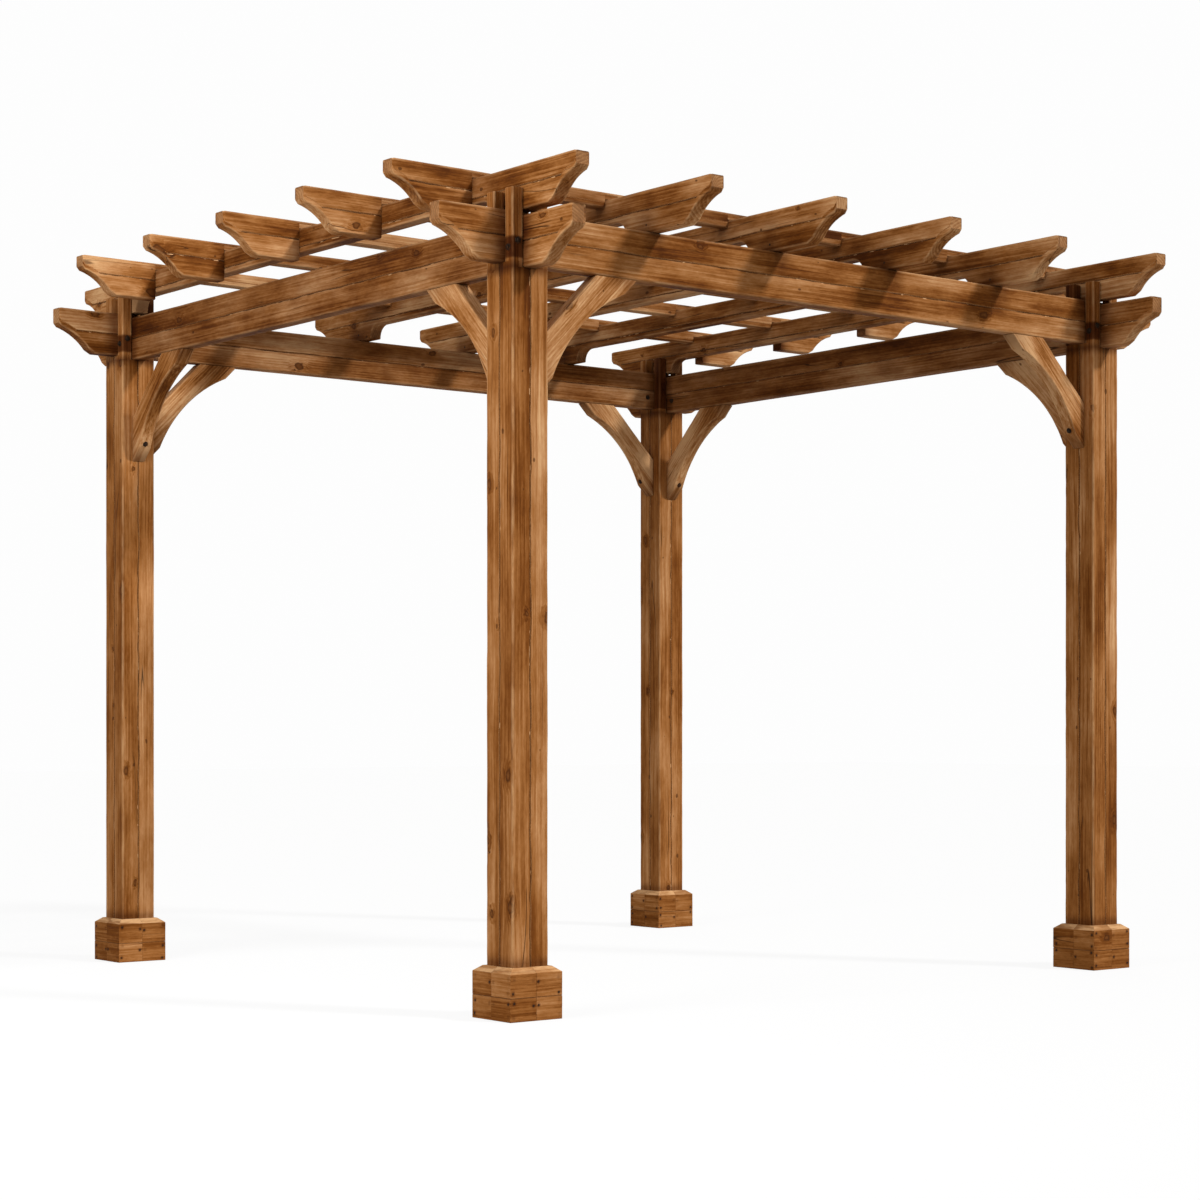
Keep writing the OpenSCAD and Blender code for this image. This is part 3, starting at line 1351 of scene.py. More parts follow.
@dataclass
class Braces(Assembly):
    """Eight curved knee braces.

    Attributes:
        thickness: Thickness of a brace.
        leg: Reach along the post and along the beam.
        back: Distance from the corner to the ends of the straight back.
        bow: Rise of the curved edge at mid length.
        toe: Length of the bevelled toe at each end of the curve.
        stock: Depth of the board that a brace is cut from.
        arris: Radius of the softened edges.
        steps: Steps in the curve.
    """

    thickness: float = 0.054
    leg: float = 0.398
    back: float = 0.229
    bow: float = 0.042
    toe: float = 0.050
    stock: float = 0.13
    arris: float = 0.0042
    steps: int = 26

    def build(self) -> None:
        """Builds the braces of both pairs of beams."""
        half_x, half_y = self.plan.span[0] / 2.0, self.plan.span[1] / 2.0
        face = self.plan.post_w / 2.0
        rows, columns = (("front", -1), ("back", 1)), (("left", -1), ("right", 1))
        for front, row in rows:
            for name, side in columns:
                origin = Vector((side * (half_x - face), row * half_y, self.plan.cross_beam_z))
                self.brace(f"{front}_brace_{name}", -side * X_AXIS, origin)
        for name, side in columns:
            for front, row in rows:
                origin = Vector((side * half_x, row * (half_y - face), self.plan.side_beam_z))
                self.brace(f"{name}_brace_{front}", -row * Y_AXIS, origin)

    def curve(self) -> list[Point]:
        """Walks the curved edge from the post to the beam.

        Returns:
            Points with the corner of post and beam at the origin.
        """
        chord = (self.leg - 2.0 * self.toe) * math.sqrt(2.0)
        radius = (chord * chord / 4.0 + self.bow * self.bow) / (2.0 * self.bow)
        middle = self.leg / 2.0 + (radius - self.bow) / math.sqrt(2.0)
        half_turn = math.asin(chord / 2.0 / radius)
        points = [(0.0, -self.leg), (self.toe / 2.0, self.toe / 2.0 - self.leg)]
        for k in range(self.steps + 1):
            turn = math.pi * 0.75 + half_turn * (1.0 - 2.0 * k / self.steps)
            points.append((middle + radius * math.cos(turn), radius * math.sin(turn) - middle))
        points += [(self.leg - self.toe / 2.0, -self.toe / 2.0), (self.leg, 0.0)]
        return points

    def brace(self, node: str, along: Vector, origin: Vector) -> None:
        """Builds one brace.

        Args:
            node: Its CAD node.
            along: Level direction from its post.
            origin: Corner of its post and its beam.
        """
        stations = []
        for across, down in self.curve():
            share = (across + down) / self.leg
            straight = self.back * (1.0 + share) / 2.0
            stations.append(Station((across, down), (straight, straight - self.back)))
        ends = self.leg / math.sqrt(2.0)
        # Painted shade with some stain at both ends, where the brace meets post and beam.
        stains = tuple(Stain(s * ends, half=0.02, fade=0.07, strength=0.55) for s in SIDES)
        timber = Timber(node, along, Z_AXIS, origin, self.stock, stains, math.pi / 4.0, (1, 1))
        section = Section(-self.thickness / 2.0, self.thickness / 2.0, self.arris, top_wear=0.0)
        skin = Loft(timber, stations, section).skin()
        self.add_timber(skin, node, Slot.BRACE, (along + Z_AXIS).normalized())


@dataclass
class Rafters(TailedTimbers):
    """Rafters, shaped at the tails and relieved between the beams.

    Attributes:
        relief: Depth cut away under a rafter between the beams.
        shoulder: Distance from a beam's centre to the start of that cut.
    """

    relief: float = 0.055
    shoulder: float = 0.096

    def build(self) -> None:
        """Builds the rafters."""
        for index, place in enumerate(self.plan.rafter_places, 1):
            self.rafter(f"rafter_{index}", place)

    def relieved(self, line: Profile, steps: int = 10) -> Profile:
        """Cuts the underside away between the beams, with a cove at each end.

        Args:
            line: The underside.
            steps: Steps in each cove.

        Returns:
            The cut underside.
        """
        start = self.plan.span[1] / 2.0 - self.shoulder - self.relief
        kept = [p for p in line.points if abs(p[0]) > start + self.relief]
        cove = []
        for k in range(steps + 1):
            turn = math.pi / 2.0 * k / steps
            cove.append((start + self.relief * math.cos(turn), self.relief * math.sin(turn)))
        return Profile(sorted(kept + cove + [(-u, v) for u, v in cove]))

    def rafter(self, node: str, place: float) -> None:
        """Builds one rafter.

        Args:
            node: Its CAD node.
            place: Its place along X.
        """
        plan, half_span = self.plan, self.plan.span[1] / 2.0
        half = plan.rafter_t / 2.0
        bottom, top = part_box(node)
        depth = top.z - bottom.z
        low, high = TailShape(depth, self.tip).bar((top.y - bottom.y) / 2.0)
        low = self.relieved(low)
        beams = [s * half_span for s in SIDES]
        # Painted shade with some stain where the rafter crosses the beams and meets the slats, and painted
        # shade along the length under the roof.
        stains = [Stain(y, plan.beam_t / 2.0, fade=0.04, strength=0.75, high=0.25) for y in beams]
        stains += [Stain(y, half, fade=0.035, strength=0.7, low=0.2) for y in plan.slat_places]
        stains.append(Stain(0.0, half_span - self.shoulder, fade=0.10, strength=self.inner_dark))
        origin = Vector((place, 0.0, bottom.z))
        timber = Timber(node, Y_AXIS, Z_AXIS, origin, depth, tuple(stains))
        self.add_bar(timber, low, high, half, Slot.ROOF)


@dataclass
class Slats(TailedTimbers):
    """Slats, notched over the rafters, with deep tails outside the outer ones.

    Attributes:
        rise: Height of a slat above the rafters.
        seat: Depth of the notches over the rafters.
    """

    inner_dark: float = 0.42
    rise: float = 0.027
    seat: float = 0.025

    def build(self) -> None:
        """Builds the slats."""
        for index, place in enumerate(self.plan.slat_places, 1):
            self.slat(f"slat_{index}", place)

    def slat(self, node: str, place: float) -> None:
        """Builds one slat.

        Args:
            node: Its CAD node.
            place: Its place along Y.
        """
        plan = self.plan
        bottom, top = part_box(node)
        depth = top.z - bottom.z
        half_seat = plan.rafter_t / 2.0 + self.gap
        hook = plan.span[0] / 2.0 + half_seat
        low, high = TailShape(depth, self.tip).bar((top.x - bottom.x) / 2.0)
        low = low.cut(-hook, hook, depth - self.rise - self.seat)
        rafters = plan.rafter_places
        for x in rafters:
            low = low.cut(x - half_seat, x + half_seat, depth - self.rise)
        # Painted shade with some stain where the slat sits on each rafter, and painted shade along the
        # length under the roof.
        stains = [Stain(x, half_seat, fade=0.035, strength=0.75, low=1.3, high=0.35) for x in rafters]
        stains.append(Stain(0.0, hook, fade=0.05, strength=self.inner_dark))
        origin = Vector((0.0, place, bottom.z))
        timber = Timber(node, X_AXIS, Z_AXIS, origin, depth, tuple(stains))
        self.add_bar(timber, low, high, (top.y - bottom.y) / 2.0, Slot.ROOF)


# Outlines of a head and of its drive recess, as shares of their radius and of the head's height.
HEAD_OUTLINE = ((1.0, 0.0), (1.0, 0.7), (0.86, 0.93), (0.7, 1.0))
RECESS_OUTLINE = ((1.0, 1.0), (0.7, 0.2))
# Outline of a washer over the wood, as shares of its radius and its thickness.
WASHER_OUTLINE = ((1.0, 0.6), (0.93, 1.0))


@dataclass(frozen=True)
class Fixing:
    """A turned or six-sided head that stands on a face.

    Attributes:
        radius: Radius of the head.
        height: Height of the head.
        sides: Number of its sides.
        washer: Radius of its washer, or 0.
        recess: Radius of the drive recess, or 0.
        washer_t: Thickness of the washer.
        washer_sunk: How far the washer reaches into the wood.
    """

    radius: float
    height: float
    sides: int
    washer: float = 0.0
    recess: float = 0.0
    washer_t: float = 0.0025
    washer_sunk: float = 0.002

    def rings(self) -> list[Point]:
        """Lists the rings of the head from the face outward.

        Returns:
            Radius and height of each ring.
        """
        rings: list[Point] = []
        plate = 0.0
        if self.washer:
            plate = self.washer_t
            rings.append((self.washer, -self.washer_sunk))
            rings += [(self.washer * out, plate * rise) for out, rise in WASHER_OUTLINE]
        rings += [(self.radius * out, plate + self.height * rise) for out, rise in HEAD_OUTLINE]
        if self.recess:
            rings += [(self.recess * out, plate + self.height * rise) for out, rise in RECESS_OUTLINE]
        return rings

    def skin(self, place: Vector, out: Vector, spin: float) -> Skin:
        """Builds one head.

        Args:
            place: Where it stands.
            out: Which way it faces.
            spin: How far it is turned.

        Returns:
            Its skin.
        """
        turn = out.to_track_quat("Z", "Y").to_matrix()
        sides = self.sides
        points = []
        for radius, level in self.rings():
            for k in range(sides):
                angle = spin + math.tau * k / sides
                spoke = Vector((radius * math.cos(angle), radius * math.sin(angle), level))
                points.append(place + turn @ spoke)
        rows = len(points) // sides
        faces = []
        for i in range(rows - 1):
            here, above = i * sides, (i + 1) * sides
            for j in range(sides):
                k = (j + 1) % sides
                faces.append([here + j, here + k, above + k, above + j])
        faces.append([(rows - 1) * sides + j for j in range(sides)])
        return Skin(np.array([tuple(p) for p in points]), faces, {})


@dataclass
class Fixings(Assembly):
    """Bolts through the post heads, lag bolts in the braces, and screws.

    Attributes:
        bases: The bases, which say where their screws are.
        braces: The braces, which say how their edge curves.
        bolt: Bolt of the post heads and the beams.
        lag: Bolt of the braces.
        screw: Screw of the bases and the roof.
        sunk: How far a head is let into the wood.
        bolt_lift: How much higher the bolts on the front and back faces are.
        beam_bolt_off: Distance of a beam's bolt from its post.
        beam_bolt_rise: Height of a beam's bolt over the beam's underside.
        rafter_screw_off: Distance of a rafter's screw from the beam's centre.
        rafter_screw_rise: Height of a rafter's screw over the beam.
        brace_station: Which point of a brace's edge has its bolt.
        crease: Angle in degrees over which an edge is sharp.
    """

    bases: Bases
    braces: Braces
    bolt: Fixing = Fixing(0.0080, 0.0055, 6, washer=0.0120)
    lag: Fixing = Fixing(0.0080, 0.0050, 6, washer=0.0115)
    screw: Fixing = Fixing(0.0037, 0.0012, 16, recess=0.0016)
    sunk: float = 0.0008
    bolt_lift: float = 0.020
    beam_bolt_off: float = 0.034
    beam_bolt_rise: float = 0.052
    rafter_screw_off: float = 0.010
    rafter_screw_rise: float = 0.024
    brace_station: int = 3
    crease: float = 30.0

    def build(self) -> None:
        """Builds each kind of fixing as one joined piece."""
        self.add("head_bolts", self.bolt, self.head_bolts())
        self.add("beam_bolts", self.bolt, self.beam_bolts())
        self.add("brace_bolts", self.lag, self.brace_bolts())
        self.add("base_screws", self.screw, self.base_screws())
        self.add("rafter_screws", self.screw, self.rafter_screws())
        self.add("slat_screws", self.screw, self.slat_screws())

    def add(self, name: str, fixing: Fixing, places: list[Placing]) -> None:
        """Builds one joined piece.

        Args:
            name: Its name.
            fixing: What stands at each place.
            places: Where each one stands and which way it faces.
        """
        rng = random.Random(name)
        skins = [fixing.skin(place, out, rng.uniform(0.0, math.tau)) for place, out in places]
        piece = Skin.joined(skins).to_object(name, self.crease)
        self.pieces.append(settle(piece, Slot.FIXING))

    def head_bolts(self) -> list[Placing]:
        """Places a bolt on both outer faces of every horn but the inner ones.

        Returns:
            Places and facings.
        """
        plan, places = self.plan, []
        half = plan.post_w / 2.0
        face, horn = half - self.sunk, (half + plan.beam_t / 2.0) / 2.0
        for corner in Corner:
            centre = plan.post_centre(corner) + Z_AXIS * (plan.side_beam_z + BOLT_RISE)
            for sx in SIDES:
                for sy in SIDES:
                    if (-sx, -sy) == corner.value:
                        continue
                    places.append((centre + Vector((sx * face, sy * horn, 0.0)), sx * X_AXIS))
                    lifted = Vector((sx * horn, sy * face, self.bolt_lift))
                    places.append((centre + lifted, sy * Y_AXIS))
        return places

    def beam_bolts(self) -> list[Placing]:
        """Places a bolt on the inner face of every beam, beside the posts.

        Returns:
            Places and facings.
        """
        plan, places = self.plan, []
        off = plan.post_w / 2.0 + self.beam_bolt_off
        skin = plan.beam_t / 2.0 - self.sunk
        cross_z, side_z = plan.cross_beam_z + self.beam_bolt_rise, plan.side_beam_z + self.beam_bolt_rise
        for sx in SIDES:
            for sy in SIDES:
                x, y = sx * plan.span[0] / 2.0, sy * plan.span[1] / 2.0
                places.append((Vector((x - sx * off, y - sy * skin, cross_z)), -sy * Y_AXIS))
                places.append((Vector((x - sx * skin, y - sy * off, side_z)), -sx * X_AXIS))
        return places

    def brace_bolts(self) -> list[Placing]:
        """Places a lag bolt near the lower end of every brace's curved edge.

        Returns:
            Places and facings.
        """
        places = []
        here, there = self.braces.curve()[self.brace_station : self.brace_station + 2]
        slope = Vector((there[0] - here[0], there[1] - here[1])).normalized()
        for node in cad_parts:
            if "_brace_" not in node:
                continue
            bottom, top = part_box(node)
            middle = (bottom + top) / 2.0
            along = X_AXIS if top.x - bottom.x > top.y - bottom.y else Y_AXIS
            sign = -1.0 if middle.dot(along) > 0.0 else 1.0
            start = bottom if sign > 0.0 else top
            corner = middle - along * middle.dot(along) + along * start.dot(along)
            corner.z = top.z
            out = sign * along * slope.y - Z_AXIS * slope.x
            place = corner + sign * along * here[0] + Z_AXIS * here[1]
            places.append((place - out * self.sunk, out))
        return places

    def base_screws(self) -> list[Placing]:
        """Places the screws of every base.

        Returns:
            Places and facings.
        """
        places = []
        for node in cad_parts:
            if not node.startswith("base_"):
                continue
            bottom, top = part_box(node)
            centre = (bottom + top) / 2.0
            face = (top.x - bottom.x) / 2.0 - self.sunk
            for screw in self.bases.screws(node):
                if screw.driven:
                    level = Vector((0.0, 0.0, bottom.z + screw.rise - centre.z))
                    shift = Z_AXIS.cross(screw.out) * screw.along + screw.out * face
                    places.append((centre + level + shift, screw.out))
        return places

    def rafter_screws(self) -> list[Placing]:
        """Places a screw on both sides of every rafter over each beam, but for the outer rafters.

        Returns:
            Places and facings.
        """
        plan, places = self.plan, []
        skin = plan.rafter_t / 2.0 - self.sunk
        level = plan.rafter_z + self.rafter_screw_rise
        for x in plan.rafter_places[1:-1]:
            for sy in SIDES:
                for face in SIDES:
                    y = sy * plan.span[1] / 2.0 + face * self.rafter_screw_off
                    places.append((Vector((x + face * skin, y, level)), face * X_AXIS))
        return places

    def slat_screws(self) -> list[Placing]:
        """Places a screw on top of every slat over each rafter."""
        top, plan = CAD_BOX[1][2] - self.screw.height - self.sunk, self.plan
        return [(Vector((x, y, top)), Z_AXIS) for x in plan.rafter_places for y in plan.slat_places]


class Wire:
    """A shader socket that can be used in Python expressions."""

    def __init__(self, graph: "Graph", socket: bpy.types.NodeSocket | None) -> None:
        """Wraps an output socket."""
        self.graph = graph
        self.socket = socket

    @property
    def plain(self) -> bool:
        """Whether this is a single value."""
        return self.socket.type == "VALUE"

    def also(self, output: str) -> "Wire":
        """Reads another output of the same node."""
        return Wire(self.graph, self.socket.node.outputs[output])

    def math(self, operation: str, first: Any, second: Any = None) -> "Wire":
        """Adds one Math or Vector Math node.

        Args:
            operation: What the node does.
            first: Its first value.
            second: Its second value, if it takes one.

        Returns:
            The result.
        """
        values = [v for v in (first, second) if v is not None]
        plain = all(v.plain if isinstance(v, Wire) else not isinstance(v, tuple) for v in values)
        if not plain:
            values = [v if isinstance(v, (Wire, tuple)) else (v, v, v) for v in values]
        kind = "ShaderNodeMath" if plain else "ShaderNodeVectorMath"
        return self.graph.node(kind, {"operation": operation}, dict(enumerate(values)))

    def __add__(self, other: Any) -> "Wire":
        """Adds."""
        return self.math("ADD", self, other)

    def __radd__(self, other: Any) -> "Wire":
        """Adds, from the right."""
        return self.math("ADD", other, self)

    def __sub__(self, other: Any) -> "Wire":
        """Takes away."""
        return self.math("SUBTRACT", self, other)

    def __rsub__(self, other: Any) -> "Wire":
        """Takes away, from the right."""
        return self.math("SUBTRACT", other, self)

    def __mul__(self, other: Any) -> "Wire":
        """Multiplies."""
        return self.math("MULTIPLY", self, other)

    def __rmul__(self, other: Any) -> "Wire":
        """Multiplies, from the right."""
        return self.math("MULTIPLY", other, self)

    def __truediv__(self, other: Any) -> "Wire":
        """Divides."""
        return self.math("DIVIDE", self, other)

    def __rtruediv__(self, other: Any) -> "Wire":
        """Divides, from the right."""
        return self.math("DIVIDE", other, self)

    def __abs__(self) -> "Wire":
        """Drops the sign."""
        return self.math("ABSOLUTE", self)

    def rising(self, start: float, end: float) -> "Wire":
        """Goes smoothly from 0 at start to 1 at end."""
        inputs = {"Value": self, "From Min": start, "From Max": end}
        return self.graph.node("ShaderNodeMapRange", {"interpolation_type": "SMOOTHSTEP"}, inputs)


class Graph:
    """Node tree of one material or of the world."""

    def __init__(self, tree: bpy.types.NodeTree) -> None:
        """Clears the tree."""
        self.tree = tree
        tree.nodes.clear()

    def node(self, kind: str, settings: dict[str, Any], inputs: dict[Any, Any], output: Any = 0) -> Wire:
        """Adds a node.

        Args:
            kind: Type of the node.
            settings: Settings, which are set first. A ramp's stops are places with colours.
            inputs: Values or wires, by socket name or number.
            output: Name or number of the socket that is returned.

        Returns:
            The node's output.
        """
        made = self.tree.nodes.new(kind)
        for key, value in settings.items():
            if key == "stops":
                self.set_stops(made.color_ramp.elements, value)
            else:
                setattr(made, key, value)
        for key, value in inputs.items():
            if isinstance(value, Wire):
                self.tree.links.new(value.socket, made.inputs[key])
            else:
                made.inputs[key].default_value = value
        return Wire(self, made.outputs[output]) if len(made.outputs) else Wire(self, None)

    @staticmethod
    def set_stops(elements: Any, stops: Sequence[tuple[float, Colour]]) -> None:
        """Fills in a ramp.

        Args:
            elements: The ramp's stops.
            stops: Places with colours.
        """
        while len(elements) < len(stops):
            elements.new(1.0)
        for element, (place, colour) in zip(elements, stops):
            element.position = place
            element.color = (*colour, 1.0)

    def value(self, name: str) -> Wire:
        """Reads a number from the mesh."""
        return self.node("ShaderNodeAttribute", {"attribute_name": name}, {}, "Fac")

    def vector(self, name: str) -> Wire:
        """Reads a vector from the mesh."""
        return self.node("ShaderNodeAttribute", {"attribute_name": name}, {}, "Vector")

    def noise(
        self, where: Wire, stretch: Triple, detail: float, output: Any = 0, roughness: float = 0.55
    ) -> Wire:
        """Adds a noise that varies a number of times in a metre along each axis."""
        inputs = {"Vector": where * stretch, "Scale": 1.0, "Detail": detail, "Roughness": roughness}
        return self.node("ShaderNodeTexNoise", {}, inputs, output)

    def blend(self, first: Any, second: Any, factor: Any, mode: str = "MIX") -> Wire:
        """Mixes two colours.

        Args:
            first: Colour or wire at factor 0.
            second: Colour or wire at factor 1.
            factor: How much of the second.
            mode: How they are mixed.

        Returns:
            The mixed colour.
        """
        first, second = ((*c, 1.0) if isinstance(c, tuple) else c for c in (first, second))
        settings = {"data_type": "RGBA", "blend_type": mode}
        return self.node("ShaderNodeMix", settings, {0: factor, 6: first, 7: second}, 2)

    def surface(self, inputs: dict[str, Any], height: Wire, strength: float, distance: float) -> None:
        """Ends a material with one shader over a bumpy surface.

        Args:
            inputs: Values or wires of the shader, by socket name.
            height: Height of the bumps.
            strength: Strength of the bumps.
            distance: Depth of the bumps.
        """
        bumps = {"Strength": strength, "Distance": distance, "Height": height}
        normal = self.node("ShaderNodeBump", {}, bumps, "Normal")
        shader = self.node("ShaderNodeBsdfPrincipled", {}, {**inputs, "Normal": normal}, "BSDF")
        self.node("ShaderNodeOutputMaterial", {}, {"Surface": shader})


def new_material(name: str) -> tuple[bpy.types.Material, Graph]:
    """Makes a material with an empty node tree.

    Args:
        name: Its name.

    Returns:
        The material and its nodes.
    """
    made = bpy.data.materials.new(name)
    made.use_nodes = True
    return made, Graph(made.node_tree)


@dataclass(frozen=True)
class Knots:
    """Knots scattered over the faces of a timber.

    Attributes:
        share: Share of places that have a knot.
        places: Places in a metre, along the timber and round it.
        size: Radius of a knot, as a share of a place.
        wobble: How uneven the knots' outlines are.
        scatter: How far the knots stray from even places.
    """

    share: float
    places: Point
    size: float
    wobble: float = 0.16
    scatter: float = 0.8

    def drawn(self, graph: Graph) -> tuple[Wire, Wire, Wire, Wire]:
        """Draws the knots.

        Args:
            graph: The material's nodes.

        Returns:
            The core, the rim, the swirl and the heart of each knot, all from 0 to 1.
        """
        skin = graph.vector("skin")
        wobble = graph.noise(skin, (26.0, 38.0, 0.0), 2.0, "Color") - (0.5, 0.5, 0.5)
        place = skin * (*self.places, 0.0) + wobble * self.wobble
        inputs = {"Vector": place, "Scale": 1.0, "Randomness": self.scatter}
        cell = graph.node("ShaderNodeTexVoronoi", {"voronoi_dimensions": "2D"}, inputs, "Distance")
        luck = graph.node("ShaderNodeSeparateColor", {}, {0: cell.also("Color")}, "Red")
        here = luck.rising(1.0 - self.share, 1.001 - self.share)
        away = cell / (self.size * (0.45 + 1.1 * luck.also("Green")))
        core = away.rising(1.10, 0.88) * here
        rim = away.rising(1.28, 1.02) * away.rising(0.70, 0.96) * here
        swirl = away.rising(3.4, 0.8) * here
        heart = away.rising(0.72, 0.25) * here
        return core, rim, swirl, heart


class Layer(Enum):
    """Noises of the wood: rates in a metre along and across the fibres, finer layers and their strength."""

    STREAK = (1.5, 75.0, 4.0, 0.72)
    FIBRE = (5.0, 330.0, 2.0, 0.55)
    BAND = (0.55, 22.0, 2.0, 0.55)
    PATCH = (2.6, 7.5, 3.0, 0.55)
    CLOUD = (0.9, 1.8, 1.0, 0.55)
    RING_MASK = (1.1, 9.0, 1.0, 0.55)
    RING_SWAY = (0.8, 5.0, 2.0, 0.55)
    GRIT = (38.0, 130.0, 2.0, 0.7)
    SCRATCH = (5.0, 190.0, 1.0, 0.55)
    CRACK = (0.9, 17.0, 1.0, 0.55)
    CRACK_MASK = (2.1, 11.0, 1.0, 0.55)
    RUB = (9.0, 40.0, 3.0, 0.55)
    SEAM_BREAK = (11.0, 3.0, 3.0, 0.7)
    CHIP = (26.0, 60.0, 2.0, 0.55)
    STAIN = (9.0, 14.0, 3.0, 0.55)


@dataclass(frozen=True)
class WoodFinish:
    """Oiled softwood, weathered brown.

    Attributes:
        name: Name of the material.
        dark: Colour of dark streaks.
        deep: Colour between dark and middle.
        middle: Colour of most of the wood.
        pale: Colour of pale streaks.
        worn: Colour of worn edges and fresh chips.
        knot: Colour of a knot.
        knot_heart: Colour of a knot's heart.
        knot_rim: Colour of the bark round a knot.
        pin: Colour of a pin knot.
        end_grain: Colour of the ends.
        crack: Colour of cracks and glue seams.
        stain: What the colour is multiplied by where the wood is stained or has painted shade.
        shift: How much paler or darker the whole finish is.
        patchy: Strength of broad light and dark patches.
        figure: Strength of fine streaks.
        ring: Width of a year's ring.
        knots: Larger knots.
        pins: Pin knots.
        mottle: How much one board differs from the next.
        roughness: Mean roughness.
        gloss: Strength of the mirror-like part of the light.
    """

    name: str
    dark: Colour = (0.080, 0.0205, 0.0024)
    deep: Colour = (0.164, 0.0500, 0.0070)
    middle: Colour = (0.278, 0.1070, 0.0270)
    pale: Colour = (0.410, 0.1930, 0.0740)
    worn: Colour = (0.560, 0.3200, 0.1500)
    knot: Colour = (0.105, 0.032, 0.006)
    knot_heart: Colour = (0.200, 0.075, 0.018)
    knot_rim: Colour = (0.040, 0.0115, 0.0025)
    pin: Colour = (0.060, 0.018, 0.004)
    end_grain: Colour = (0.225, 0.112, 0.050)
    crack: Colour = (0.030, 0.0095, 0.003)
    stain: Colour = (0.26, 0.18, 0.13)
    shift: float = 0.0
    patchy: float = 1.0
    figure: float = 1.0
    ring: float = 0.0105
    knots: Knots = Knots(share=0.17, places=(4.4, 7.2), size=0.072)
    pins: Knots = Knots(share=0.08, places=(11.0, 17.0), size=0.070)
    mottle: float = 0.07
    roughness: float = 0.75
    gloss: float = 0.05

    def material(self) -> bpy.types.Material:
        """Builds the material.

        Returns:
            The material.
        """
        made, graph = new_material(self.name)
        WoodPattern(graph, self).draw()
        return made

    def stops(self) -> list[tuple[float, Colour]]:
        """Lists the colours from dark to pale, with their places on the ramp."""
        places = (0.12, 0.34, 0.54, 0.76, 0.98)
        return list(zip(places, (self.dark, self.deep, self.middle, self.pale, self.worn)))


